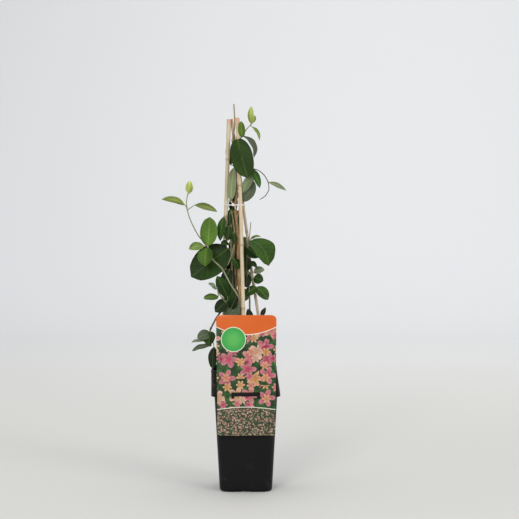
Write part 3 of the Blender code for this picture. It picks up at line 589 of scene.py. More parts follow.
def stem_material():
    """Bark or green skin with long streaks; the colour is stored along each stem."""
    s = Shader("stem_skin")
    own = s.attribute("tone")
    around = s.coords("along")
    streak = s.noise(s.stretch(around, (9.0, 60.0, 1.0)), 1.0, 5.0, 0.65)
    patch = s.noise(s.coords(), 90.0, 4.0)
    dark = s.tint(own, (0.38, 0.36, 0.36))
    pale = s.mix(0.45, own, (0.55, 0.47, 0.33))
    colour = s.mix(s.step(streak, 0.45, 0.62), s.mix(s.step(streak, 0.3, 0.5), dark, own), pale)
    colour = s.mix(s.times(patch, 0.35), colour, own)
    s.bump(streak, 0.6, 0.0004)
    return s.finish(colour, 0.62, 0.2)


def bamboo_material():
    """Pale bamboo with fine lengthwise fibres, blotches and darker joints."""
    s = Shader("bamboo")
    own = s.attribute("tone")
    around = s.coords("along")
    fibre = s.noise(s.stretch(around, (46.0, 14.0, 1.0)), 1.0, 6.0, 0.7)
    blotch = s.noise(s.stretch(around, (3.0, 22.0, 1.0), (3.1, 1.7, 0)), 1.0, 4.0)
    warm = s.tint(own, (0.8, 0.63, 0.47))
    pale = s.mix(0.5, own, (0.86, 0.76, 0.6))
    colour = s.mix(s.step(fibre, 0.35, 0.65), warm, own)
    colour = s.mix(s.times(s.step(blotch, 0.5, 0.75), 0.7), colour, pale)
    speck = s.cells(s.stretch(around, (7.0, 130.0, 1.0)), 1.0)["Distance"]
    colour = s.mix(s.times(s.math("LESS_THAN", speck, 0.07), 0.5), colour, (0.16, 0.1, 0.06))
    s.bump(fibre, 0.35, 0.0002)
    return s.finish(colour, 0.5, 0.3)


def pot_material():
    """Thin black plastic: faint mould flow whose streaks are also a painted sheen, scuffs, traces of
    dried soil, and on the rim's left side soil and grit that are partly a painted speckled highlight.
    """
    s = Shader("pot_black")
    where = s.coords()
    # Mould flow streaks; their light and dark bands are also a painted sheen.
    flow_and_sheen = s.noise(s.stretch(where, (20.0, 20.0, 160.0)), 1.0, 4.0)
    scuff = s.noise(s.stretch(where, (260.0, 260.0, 40.0)), 1.0, 6.0, 0.7)
    dust = s.noise(where, 34.0, 8.0, 0.7)
    high = s.split(where)[2]
    # The rim's left side, where extra soil and light grit are partly a painted speckled highlight.
    left = s.until(s.split(where)[0], -0.06, -0.045)
    near_top = s.plus(s.step(high, 0.13, 0.215), s.times(left, s.step(high, 0.16, 0.18)))
    near_base = s.until(high, 0.0, 0.03)
    dirty = s.plus(s.times(near_top, 0.45), s.plus(s.times(near_base, 0.5), 0.1))
    soil = s.times(s.step(dust, 0.56, 0.72), dirty)
    colour = s.mix(s.times(flow_and_sheen, 0.5), (0.0018, 0.0018, 0.0022), (0.0066, 0.0066, 0.0076))
    colour = s.mix(s.times(s.step(scuff, 0.62, 0.8), 0.3), colour, (0.04, 0.04, 0.042))
    colour = s.mix(soil, colour, (0.08, 0.06, 0.045))
    # Light grit on the rim's left side: dried soil, and partly a painted speckled highlight.
    grit_and_glint = s.step(s.noise(where, 210.0, 5.0, 0.75), 0.53, 0.64)
    grit_and_glint = s.times(grit_and_glint, s.times(left, s.step(high, 0.158, 0.17)))
    colour = s.mix(s.times(grit_and_glint, 0.75), colour, (0.17, 0.125, 0.09))
    rough = s.plus(0.36, s.plus(s.times(flow_and_sheen, 0.16), s.times(soil, 0.4)))
    height = s.plus(s.times(flow_and_sheen, 0.7), s.times(scuff, 0.3))
    s.bump(height, 0.2, 0.0008)
    return s.finish(colour, rough, 0.16)


def soil_material():
    """Dark peat with lighter fibres and grains."""
    s = Shader("peat")
    where = s.coords()
    grain = s.noise(where, 420.0, 8.0, 0.75)
    clump = s.noise(where, 90.0, 5.0)
    bits = s.cells(where, 330.0)
    colour = s.ramp(grain, [(0.3, (0.008, 0.005, 0.004)), (0.55, (0.035, 0.021, 0.013)),
                            (0.75, (0.1, 0.062, 0.035))])
    colour = s.mix(s.times(s.math("LESS_THAN", bits["Distance"], 0.22), 0.35), colour,
                   (0.2, 0.14, 0.09))
    height = s.plus(grain, s.times(clump, 1.5))
    s.bump(height, 0.9, 0.0025)
    return s.finish(colour, 0.95, 0.2)


def string_material():
    """Off-white twisted string."""
    s = Shader("string_white")
    fibre = s.noise(s.coords(), 1500.0, 4.0)
    colour = s.mix(fibre, (0.62, 0.6, 0.56), (0.9, 0.89, 0.86))
    s.bump(fibre, 0.5, 0.0002)
    return s.finish(colour, 0.85, 0.25)


def card_material():
    """Plain white back and edges of the label card."""
    s = Shader("card_back")
    fibre = s.noise(s.coords(), 900.0, 4.0)
    colour = s.mix(fibre, (0.74, 0.75, 0.73), (0.84, 0.84, 0.82))
    s.bump(fibre, 0.1, 0.0001)
    return s.finish(colour, 0.45, 0.4)


def print_material():
    """Generic garden print: an orange arch, a green disc, rosettes and a band of specks."""
    s = Shader("label_print")
    place = s.split(s.coords("card"))
    x, y = place[0], place[1]
    flat = s.join(x, y)
    hedge = s.noise(flat, 0.06, 6.0, 0.65)
    blades = s.noise(s.stretch(flat, (0.22, 0.07, 1.0), (4.0, 9.0, 0)), 1.0, 5.0, 0.6)
    colour = s.ramp(hedge, [(0.3, (0.008, 0.022, 0.01)), (0.5, (0.022, 0.062, 0.019)),
                            (0.68, (0.07, 0.18, 0.045)), (0.85, (0.2, 0.32, 0.1))])
    colour = s.mix(s.step(blades, 0.56, 0.66), colour, (0.045, 0.12, 0.03))
    for scale, spin, size, seed in ((0.031, 5.0, 0.46, 3.0), (0.047, 6.0, 0.36, 21.0)):
        bloom = s.cells(s.stretch(flat, (1.0, 1.0, 1.0), (seed, seed * 1.7, 0)), scale, 0.72)
        spot = s.stretch(flat, (scale, scale, 1.0), (seed * scale, seed * 1.7 * scale, 0))
        middle = s.vector("MULTIPLY", bloom["Position"], (scale, scale, 0.0))
        rel = s.split(s.vector("SUBTRACT", spot, middle))
        angle = s.math("ARCTAN2", rel[1], rel[0])
        petal = s.size(s.math("COSINE", s.times(angle, spin / 2)))
        reach = s.times(s.plus(0.35, s.times(petal, 0.65)), size)
        radius = s.length(rel[0], rel[1])
        inside = s.until(s.minus(radius, reach), -0.02, 0.015)
        pick = s.split(bloom["Color"])[0]
        tint = s.ramp(pick, [(0.0, (0.55, 0.05, 0.15)), (0.3, (0.74, 0.17, 0.25)),
                             (0.5, (0.86, 0.4, 0.25)), (0.7, (0.88, 0.5, 0.13)),
                             (1.0, (0.88, 0.68, 0.45))])
        core = s.step(s.math("DIVIDE", radius, reach), 0.15, 0.95)
        tint = s.mix(s.times(core, 0.6), s.tint(tint, (0.75, 0.55, 0.6)),
                     s.mix(0.35, tint, (0.95, 0.85, 0.78)))
        fade = s.mix(s.noise(flat, 0.11, 4.0), (0.45, 0.42, 0.4), (1.15, 1.1, 1.1))
        colour = s.mix(inside, colour, s.tint(tint, fade))
    low = s.cells(flat, 0.42)
    low_fine = s.noise(flat, 0.3, 5.0, 0.7)
    pick = s.split(low["Color"])[0]
    speck = s.ramp(pick, [(0.0, (0.025, 0.075, 0.035)), (0.3, (0.07, 0.13, 0.06)),
                          (0.5, (0.46, 0.18, 0.15)), (0.68, (0.6, 0.34, 0.25)),
                          (0.85, (0.68, 0.5, 0.38)), (1.0, (0.25, 0.28, 0.14))])
    bed = s.mix(s.step(low["Distance"], 0.25, 0.75), speck, (0.035, 0.055, 0.03))
    bed = s.mix(s.step(low_fine, 0.52, 0.66), bed, (0.035, 0.05, 0.028))
    slope = s.plus(42.0, s.times(s.math("COSINE", s.times(x, 0.03)), 5.0))
    edge = s.minus(y, slope)
    colour = s.mix(s.until(edge, -0.3, 0.3), colour, bed)
    line = s.until(s.size(edge), 0.35, 0.8)
    colour = s.mix(line, colour, (0.86, 0.82, 0.7))
    arch = s.minus(y, s.plus(166.0, s.times(s.times(x, x), 0.0052)))
    head = s.step(arch, -0.25, 0.25)
    orange = s.mix(s.noise(flat, 0.02, 2.0), (0.66, 0.1, 0.015), (0.72, 0.16, 0.025))
    colour = s.mix(head, colour, orange)
    ring = s.until(s.size(arch), 0.4, 0.9)
    colour = s.mix(ring, colour, (0.88, 0.84, 0.72))
    dx = s.minus(x, -21.0)
    dy = s.minus(y, 158.0)
    disc = s.length(dx, dy)
    green = s.mix(s.step(disc, 4.0, 19.0), (0.11, 0.47, 0.1), (0.05, 0.37, 0.08))
    colour = s.mix(s.until(disc, 19.2, 19.7), colour, green)
    rim = s.until(s.size(s.minus(disc, 20.0)), 0.3, 0.8)
    colour = s.mix(rim, colour, (0.85, 0.86, 0.68))
    dots = s.noise(flat, 3.0, 2.0)
    s.bump(dots, 0.03, 0.0001)
    return s.finish(s.tint(colour, (0.8, 0.8, 0.8)), 0.35, 0.2)


def blade_grid(spec, seed):
    """Places of one leaf blade: upper sheet, lower sheet, and where each point is on the blade."""
    foot, tip, width, face, bow, full = spec
    foot, tip = np.array(foot, float), np.array(tip, float)
    rng = random.Random(seed)
    length = np.linalg.norm(tip - foot)
    along = (tip - foot) / length
    up = np.array(face, float)
    up = up - along * up.dot(along)
    up /= np.linalg.norm(up)
    across = np.cross(along, up)
    t = np.linspace(0, 1, BLADE_ROWS + 1)[:, None]
    side = np.linspace(-1, 1, BLADE_COLUMNS + 1)[None, :]
    half = width / 2 * np.sin(np.pi * np.clip(t, 0.012, 0.992) ** 0.9) ** full
    taper = np.clip((1 - t) / 0.1, 0, 1) ** 0.5
    half = half * taper + 0.15 * (1 - taper)
    fold = np.sqrt(side ** 2 + 0.015) - 0.12
    phase = rng.uniform(0, 6.28)
    ripple = np.sin(t * rng.uniform(9, 14) + phase + side * 0.8) * side ** 2
    curl = rng.uniform(-0.02, 0.04) * length * np.clip(t - 0.55, 0, 1) ** 2 * 4
    rise = bow * 4 * t * (1 - t) + fold * half * 0.18 + ripple * (0.18 + 0.012 * width) - curl
    swing = rng.uniform(-0.015, 0.015) * length * np.sin(np.pi * t)
    points = (foot + along * (length * t)[..., None] + across * (side * half + swing)[..., None]
              + up * rise[..., None])
    step_u = np.gradient(points, axis=1)
    step_t = np.gradient(points, axis=0)
    normal = unit(np.cross(step_t, step_u))
    normal *= np.sign((normal * up).sum(axis=2, keepdims=True) + 1e-9)
    upper = points + normal * BLADE_THICK / 2
    lower = points - normal * BLADE_THICK / 2
    on_blade = np.stack(np.broadcast_arrays((side + 1) / 2, t), axis=-1)
    real = np.stack(np.broadcast_arrays(side * half, t * length), axis=-1)
    return upper, lower, on_blade, real


def vine_leaves(name, leaves, looks, mat):
    """All blades of one leafy stem as one mesh."""
    verts, faces, tone, under, blade_uv, real_uv = [], [], [], [], [], []
    rows, cols = BLADE_ROWS + 1, BLADE_COLUMNS + 1
    for number, (leaf, look) in enumerate(zip(leaves, looks)):
        seed = f"{name}{number}"
        upper, lower, on_blade, real = blade_grid(leaf[1:], seed)
        faces += sheet_faces(rows, cols, len(verts))
        rng = random.Random(seed + "tone")
        colour = np.array(LEAF_COLOURS[look]) * rng.uniform(0.85, 1.18)
        colour = colour * np.array([rng.uniform(0.9, 1.12), 1.0, rng.uniform(0.85, 1.1)])
        turned = look in "gG"
        side, t = on_blade[..., 0] * 2 - 1, on_blade[..., 1]
        # Painted light and shade across each blade: one half and one end lighter, the other darker,
        # with soft bands.
        shade = 1 + rng.uniform(-0.3, 0.3) * side + rng.uniform(-0.3, 0.3) * (t - 0.5)
        shade += 0.16 * np.sin(t * rng.uniform(4, 8) + side * rng.uniform(1, 3) + rng.uniform(0, 6))
        for sheet, is_lower in ((upper, False), (lower, True)):
            verts.extend((sheet * MM).reshape(-1, 3))
            tone.extend((colour * shade[..., None]).reshape(-1, 3))
            under.extend([[float(is_lower != turned)] * 3] * (rows * cols))
            blade_uv.extend(on_blade.reshape(-1, 2))
            real_uv.extend(real.reshape(-1, 2))
    obj = new_object(name + "_leaves", verts, faces, mat)
    set_colours(obj, "tone", tone)
    set_colours(obj, "under", under)
    set_uv(obj, "blade", blade_uv)
    set_uv(obj, "size", real_uv)
    return obj


def smooth_path(points, step):
    """Resample a path of places and radii along a smooth curve through them."""
    p = np.array(points, float)
    ends = np.vstack([2 * p[0] - p[1], p, 2 * p[-1] - p[-2]])
    out = []
    for i in range(1, len(ends) - 2):
        a, b, c, d = ends[i - 1], ends[i], ends[i + 1], ends[i + 2]
        count = max(2, int(np.linalg.norm((c - b)[:3]) / step))
        t = np.linspace(0, 1, count, endpoint=False)[:, None]
        tangent_b, tangent_c = (c - a) * 0.35, (d - b) * 0.35
        h = 2 * t ** 3 - 3 * t ** 2
        out.append(b * (h + 1) + c * (-h) + tangent_b * (t ** 3 - 2 * t ** 2 + t)
                   + tangent_c * (t ** 3 - t ** 2))
    out.append(p[-1:])
    return np.vstack(out)


def sweep(path, sides, store, colour, closed=False, rounded=True):
    """Add a round tube along a path of places and radii to a store of mesh data."""
    verts, faces, tone, along_uv = store
    centre, radius = path[:, :3], path[:, 3]
    direction = np.gradient(centre, axis=0)
    if closed:
        direction = np.roll(centre, -1, axis=0) - np.roll(centre, 1, axis=0)
    direction = unit(direction)
    normal = np.cross(direction[0], (0.3, 1.0, 0.2))
    normal /= np.linalg.norm(normal)
    walked = 0.0
    base = len(verts)
    count = len(path)
    for i in range(count):
        normal = normal - direction[i] * normal.dot(direction[i])
        normal /= np.linalg.norm(normal)
        other = np.cross(direction[i], normal)
        if i:
            walked += float(np.linalg.norm(centre[i] - centre[i - 1]))
        shade = colour[i] if np.ndim(colour) == 2 else colour
        for k in range(sides):
            angle = 2 * math.pi * k / sides
            spot = centre[i] + (normal * math.cos(angle) + other * math.sin(angle)) * radius[i]
            verts.append(spot * MM)
            tone.append(shade)
            along_uv.append((abs(2 * k / sides - 1), walked * MM))
    faces.extend(tube_faces(count, sides, base, closed))
    if closed:
        return
    for end, i, sign in ((0, 0, -1), (1, count - 1, 1)):
        middle = len(verts)
        bulge = radius[i] * (0.5 if rounded else 0.04)
        verts.append((centre[i] + direction[i] * sign * bulge) * MM)
        tone.append(colour[i] if np.ndim(colour) == 2 else colour)
        along_uv.append((0.5, walked * MM * end))
        for k in range(sides):
            a = base + i * sides + k
            b = base + i * sides + (k + 1) % sides
            faces.append((b, a, middle) if end == 0 else (a, b, middle))


def from_store(name, store, mat):
    """Make an object from a store of swept tubes."""
    verts, faces, tone, along_uv = store
    obj = new_object(name, verts, faces, mat)
    set_colours(obj, "tone", tone)
    set_uv(obj, "along", along_uv)
    return obj


def vine_stems(name, stems, leaves, mat):
    """The stem, branches and petioles of one leafy stem as one mesh."""
    store = ([], [], [], [])
    bark = np.array(STEM_COLOURS[name])
    places = [np.array(leaf[0], float) for leaf in leaves]
    for number, points in enumerate(stems):
        path = smooth_path(points, 2.2)
        gap = np.full(len(path), 99.0)
        for place in places:
            gap = np.minimum(gap, np.linalg.norm(path[:, :3] - place, axis=1))
        path[:, 3] *= 1 + 0.4 * np.exp(-(gap / 2.2) ** 2)
        rng = random.Random(name + str(number))
        wobble = np.array([[rng.uniform(-1, 1) for _ in range(3)] for _ in path])
        for _ in range(2):
            wobble[1:-1] = (wobble[:-2] + wobble[1:-1] * 2 + wobble[2:]) / 4
        path[:, :3] += wobble * 0.25
        young = np.clip((1.45 - path[:, 3]) / 0.7, 0, 1)[:, None]
        if name == "vine_main" and number == 0:
            young = np.clip((path[:, 2:3] - 560) / 90, 0, 1) * 0.55
        # Branches in shadow take the painted-shade colour in place of the green skin of young growth.
        tip_tone = SHADED_STEM if (name, number) in SHADED_BRANCHES else GREEN_STEM
        scar = np.exp(-(gap / 1.5) ** 2)[:, None] * 0.45
        colour = blend(blend(bark, tip_tone, young), LEAF_SCAR, scar)
        sweep(path, 12 if path[0, 3] > 1.3 else 9, store, colour)
    for (attach, foot, tip, _, face, bow, _), look in zip(leaves, LEAF_LOOKS[name]):
        foot_v = Vector(foot)
        span = Vector(tip) - foot_v
        length = span.length
        span.normalize()
        up = Vector(face)
        up = (up - span * up.dot(span)).normalized()
        sunk = min(5.0, length * 0.25)
        t = sunk / length
        inside = foot_v + span * sunk + up * (bow * 4 * t * (1 - t) - 0.2)
        points = [(*attach, 0.75), (*foot, 0.65), (*inside, 0.3)]
        if (Vector(attach) - foot_v).length < 1.0:
            points = points[1:]
        blade = LEAF_COLOURS["b" if look in "kd" else look]
        tint = np.array(blade) * 0.6 + np.array(GREEN_STEM) * 0.4
        sweep(smooth_path(points, 1.2), 8, store, tint)
    return from_store(name + "_stems", store, mat)


def bamboo_cane(name, radius, points, seed, shade, mat):
    """One bamboo cane with swollen joints and a cut top."""
    rng = random.Random(seed)
    path = smooth_path([(*p, radius) for p in points], 2.5)
    height = path[:, 2]
    swell, dark = np.zeros(len(path)), np.zeros(len(path))
    joint = CANE_DEPTH + rng.uniform(20, 60)
    while joint < height[-1] - 6:
        swell += np.exp(-((height - joint) / 3.2) ** 2) * 0.11
        swell -= np.exp(-((height - joint - 6) / 4.0) ** 2) * 0.04
        dark += np.exp(-((height - joint + 1.5) / 1.8) ** 2) * 0.6
        joint += rng.uniform(72, 108)
    path[:, 3] *= 0.985 + swell
    top = np.clip((height - height[-1] + 14) / 14, 0, 1)[:, None] * 0.75
    colour = blend(np.array(shade), CANE_JOINT, np.clip(dark, 0, 0.75)[:, None])
    colour = blend(colour, CANE_TOP, top)
    store = ([], [], [], [])
    sweep(path, 20, store, colour, rounded=False)
    return from_store(name + "_fine", store, mat)


def cane_place(name, height):
    """Find where a cane's centre is at a height."""
    points = CANES[name][1]
    for low, high in zip(points, points[1:]):
        if low[2] <= height <= high[2]:
            part = (height - low[2]) / (high[2] - low[2])
            return (low[0] + (high[0] - low[0]) * part, low[1] + (high[1] - low[1]) * part)
    return points[-1][:2]


def string_loop():
    """The string's path round the three canes."""
    loop = []
    for i in range(120):
        angle = 2 * math.pi * i / 120
        way = (math.cos(angle), math.sin(angle))
        best = None
        for name, (radius, _) in CANES.items():
            x, y = cane_place(name, TIE_HEIGHT)
            reach = radius + STRING_RADIUS + 0.2
            far = x * way[0] + y * way[1] + reach
            if best is None or far > best[0]:
                best = (far, x + way[0] * reach, y + way[1] * reach)
        loop.append((best[1], best[2], TIE_HEIGHT))
    loop = np.array(loop)
    steps = np.linalg.norm(np.roll(loop, -1, axis=0) - loop, axis=1)
    walked = np.concatenate([[0], np.cumsum(steps)])
    wanted = np.linspace(0, walked[-1], 260, endpoint=False)
    closed = np.vstack([loop, loop[:1]])
    return np.stack([np.interp(wanted, walked, closed[:, k]) for k in range(3)], axis=1)


def twisted(centre, radius, turns, store, closed):
    """Add two strands twisted round each other along a path."""
    direction = unit(np.gradient(centre, axis=0))
    level = unit(np.cross(direction, (0.05, 0.1, 1.0)))
    other = np.cross(direction, level)
    angle = np.linspace(0, 2 * math.pi * turns, len(centre), endpoint=not closed)[:, None]
    for shift in (0.0, math.pi):
        offset = (level * np.cos(angle + shift) + other * np.sin(angle + shift)) * radius * 0.45
        strand = np.hstack([centre + offset, np.full((len(centre), 1), radius * 0.55)])
        sweep(strand, 7, store, STRING_COLOUR, closed=closed)


def build_string(mat):
    """The tie: twisted string, its knot and two loose ends."""
    loop = string_loop()
    store = ([], [], [], [])
    twisted(loop, STRING_RADIUS + 0.05, STRING_TURNS, store, True)
    front = loop[:, 1].min()
    left = loop[loop[:, 0] < KNOT[0]]
    depth = (front + left[:, 1].min()) / 2
    x, z = KNOT
    turn = np.linspace(0, 2 * math.pi, 40, endpoint=False)
    for k, (wide, tall, lean) in enumerate(KNOT_LOOPS):
        tilt = 0.4 * np.cos(turn) * math.sin(lean)
        thread = np.stack([x + wide * np.cos(turn) * math.cos(lean),
                           depth + wide * 0.45 * np.sin(turn + k),
                           TIE_HEIGHT + 0.6 + tall * np.sin(turn) + tilt,
                           np.full(len(turn), KNOT_THREAD)], axis=1)
        sweep(thread, 8, store, STRING_COLOUR, closed=True)
    ends = [
        [(x, depth, z - 1, 1), (x - 2.5, depth - 1.4, z + 2.5, 1), (x - 4, depth - 1.8, z + 5, 1)],
        [(x, depth, z - 1, 1), (x + 3, depth - 1.4, z - 4, 1), (x + 4, depth - 1.3, z - 8, 1)],
    ]
    for points in ends:
        path = smooth_path(points, 0.35)
        twisted(path[:, :3], 0.6, 3, store, False)
    return from_store("cane_tie_string", store, mat)


def square_ring(side, corner, z, shift):
    """Points of one rounded-square section."""
    half = side / 2 - corner
    centres = [(half, half), (-half, half), (-half, -half), (half, -half)]
    out = []
    for quarter, (cx, cy) in enumerate(centres):
        start = math.pi / 2 * quarter
        for k in range(11):
            angle = start + math.pi / 2 * k / 10
            out.append((cx + corner * math.cos(angle) + shift, cy + corner * math.sin(angle), z))
        nx, ny = centres[(quarter + 1) % 4]
        a = np.array(out[-1])
        b = np.array((nx + corner * math.cos(angle) + shift, ny + corner * math.sin(angle), z))
        out += [tuple(a + (b - a) * k / 8) for k in range(1, 8)]
    return np.array(out)


def cut(obj, low, high, is_round=False):
    """Cut a block or a round hole between two corners out of an object."""
    bm = bmesh.new()
    if is_round:
        bmesh.ops.create_cone(bm, cap_ends=True, segments=28, radius1=0.5, radius2=0.5, depth=1.0)
    else:
        bmesh.ops.create_cube(bm, size=1.0)
    set_box(bm, bm.verts, low, high)
    other = from_bmesh("cutter", bm)
    mod = obj.modifiers.new("cut", "BOOLEAN")
    mod.operation = "DIFFERENCE"
    mod.solver = "EXACT"
    mod.object = other
    bpy.context.view_layer.update()
    graph = bpy.context.evaluated_depsgraph_get()
    done = bpy.data.meshes.new_from_object(obj.evaluated_get(graph))
    obj.modifiers.clear()
    obj.data = done
    bpy.data.objects.remove(other)


def mark_sharp(obj):
    """Keep steep edges sharp in the shading."""
    bm = bmesh.new()
    bm.from_mesh(obj.data)
    for face in bm.faces:
        face.smooth = True
    for edge in bm.edges:
        if len(edge.link_faces) == 2:
            edge.smooth = edge.calc_face_angle(0.0) < math.radians(SHARP_ANGLE)
    bm.to_mesh(obj.data)
    bm.free()


def build_pot(mat):
    """The pot as one thin moulding: body, ledge, rim, rolled lip and inside."""
    slope = (BODY_TOP_SIDE - BASE_SIDE) / BODY_TOP
    lean = (RIM_TOP_SIDE - RIM_LOW_SIDE) / (RIM_TOP - BODY_TOP)

    def body(z):
        return BASE_SIDE + slope * z

    def rim(z):
        return RIM_LOW_SIDE + lean * (z - BODY_TOP)

    def shift(z):
        return RIM_LEAN * max(0.0, (z - BODY_TOP) / (RIM_TOP - BODY_TOP))

    ledge, lip = BODY_TOP, RIM_TOP
    outline = [(BASE_SIDE - 8.0, 0.0), (BASE_SIDE - 5.2, 0.3), (BASE_SIDE - 2.6, 1.2),
               (body(2.5) - 1.0, 2.5), (body(4.2), 4.2)]
    outline += [(body(z), z) for z in np.linspace(6, ledge - 4, 24)]
    outline += [(body(ledge - 1.6), ledge - 1.6), (body(ledge - 1) + 1.2, ledge - 0.9),
                (RIM_LOW_SIDE - 2.4, ledge - 0.8), (RIM_LOW_SIDE - 0.8, ledge - 0.5),
                (RIM_LOW_SIDE, ledge + 0.4)]
    outline += [(rim(z), z) for z in np.linspace(ledge + 4, lip - 5, 9)]
    outline += [(rim(lip - 4) + 0.6, lip - 4), (rim(lip - 3) + 1.0, lip - 2.4),
                (rim(lip - 2) + 0.8, lip - 0.8), (rim(lip - 1) - 0.6, lip),
                (rim(lip - 1) - 2.4, lip), (rim(lip - 2) - 3.4, lip - 0.8)]
    outline += [(rim(z) - 2 * POT_WALL, z) for z in np.linspace(lip - 5, ledge + 3, 8)]
    outline += [(RIM_LOW_SIDE - 4.0, ledge + 1.2), (body(ledge) - 2.6, ledge + 0.6)]
    outline += [(body(z) - 2 * POT_WALL, z) for z in np.linspace(ledge - 4, 8, 10)]
    outline += [(80.0, 5.6), (76.0, 5.4)]
    verts = []
    for number, (side, z) in enumerate(outline):
        ring = square_ring(side, CORNER, z, shift(z))
        soft = 0.35 * math.sin(z * 0.045) if 15 < z < BODY_TOP - 4 else 0.0
        if soft and number < 30:
            flat = np.abs(ring[:, 0]) < np.abs(ring[:, 1])
            ring[flat, 1] *= 1 - soft * 0.01
        verts.extend(ring * MM)
    rings, count = len(outline), len(ring)
    faces = tube_faces(rings, count)
    faces.append(tuple(reversed(range(count))))
    faces.append(tuple((rings - 1) * count + k for k in range(count)))
    pot = new_object("pot_fine", verts, faces, mat)
    half = FOOT_GAP_WIDTH / 2
    for turned in (False, True):
        for sign in (1, -1):
            near, far = sorted((sign * CENTRE_PAD / 2, sign * FOOT_GAP_REACH))
            low, high = ((-half, near), (half, far)) if turned else ((near, -half), (far, half))
            cut(pot, (*low, CUT_BELOW), (*high, FOOT_GAP_HEIGHT))
    for x, y in ((DRAIN_REACH, 0), (-DRAIN_REACH, 0), (0, DRAIN_REACH), (0, -DRAIN_REACH)):
        cut(pot, (x - DRAIN_RADIUS, y - DRAIN_RADIUS, CUT_BELOW),
            (x + DRAIN_RADIUS, y + DRAIN_RADIUS, 9), is_round=True)
    mark_sharp(pot)
    return pot


def build_hook(mat):
    """The label hook: a bar with a short leg at each end."""
    half = HOOK_WIDTH / 2
    bm = bmesh.new()
    blocks = [(-half, half, HOOK_LOW, HOOK_TOP)]
    for side in (-1, 1):
        ends = sorted((side * (half - HOOK_LEG), side * half))
        blocks.append((*ends, HOOK_LEG_LOW, HOOK_LOW + 0.5))
    for left, right, low, high in blocks:
        made = bmesh.ops.create_cube(bm, size=1.0)["verts"]
        set_box(bm, made, (left, HOOK_FRONT, low), (right, HOOK_BACK, high))
    bmesh.ops.bevel(bm, geom=list(bm.edges), offset=HOOK_ROUND * MM, segments=3, profile=0.5,
                    affect="EDGES")
    hook = from_bmesh("pot_hook", bm)
    hook.data.shade_smooth()
    hook.data.materials.append(mat)
    return hook


def build_soil(mat):
    """Lumpy soil surface inside the rim, over a plain block."""
    rng = np.random.default_rng(7)
    grid = np.linspace(-1, 1, SOIL_GRID)
    rough = rng.normal(size=(SOIL_GRID, SOIL_GRID))
    waves = np.zeros((SOIL_GRID, SOIL_GRID))
    for smooth, amount in SOIL_WAVES:
        layer = rough.copy()
        for _ in range(smooth * smooth):
            layer = (layer + np.roll(layer, 1, 0) + np.roll(layer, -1, 0) + np.roll(layer, 1, 1)
                     + np.roll(layer, -1, 1)) / 5
        waves += layer / layer.std() * amount * 0.42
    inner = SOIL_REACH - SOIL_ROUND
    verts = []
    for j, v in enumerate(grid):
        for i, u in enumerate(grid):
            x, y = u * SOIL_REACH, v * SOIL_REACH
            cx, cy = max(abs(x) - inner, 0), max(abs(y) - inner, 0)
            spread = math.hypot(cx, cy)
            if spread > SOIL_ROUND:
                pull = SOIL_ROUND / spread
                x = math.copysign(inner + cx * pull, x)
                y = math.copysign(inner + cy * pull, y)
            z = SOIL_TOP - SOIL_SINK + float(waves[j, i])
            verts.append(((x + SOIL_SHIFT) * MM, y * MM, z * MM))
    return new_object("soil_surface", verts, grid_faces(SOIL_GRID, SOIL_GRID), mat)


def build_crumbs(mat):
    """Loose crumbs of bark and peat on the soil."""
    rng = random.Random(11)
    bm = bmesh.new()
    for _ in range(CRUMBS):
        x, y = rng.uniform(-50, 46), rng.uniform(-50, 50)
        made = bmesh.ops.create_icosphere(bm, subdivisions=1, radius=MM)["verts"]
        size = (rng.uniform(0.6, 2.6), rng.uniform(0.5, 1.8), rng.uniform(0.4, 1.2))
        spin = rng.uniform(0, 6.28)
        for vert in made:
            jitter = 1 + rng.uniform(-0.25, 0.25)
            px, py = vert.co.x * size[0] * jitter, vert.co.y * size[1] * jitter
            vert.co.x = px * math.cos(spin) - py * math.sin(spin) + x * MM
            vert.co.y = px * math.sin(spin) + py * math.cos(spin) + y * MM
            vert.co.z = vert.co.z * size[2] + (SOIL_TOP + rng.uniform(-0.6, 0.4)) * MM
    crumbs = from_bmesh("soil_crumbs", bm)
    crumbs.data.materials.append(mat)
    return crumbs


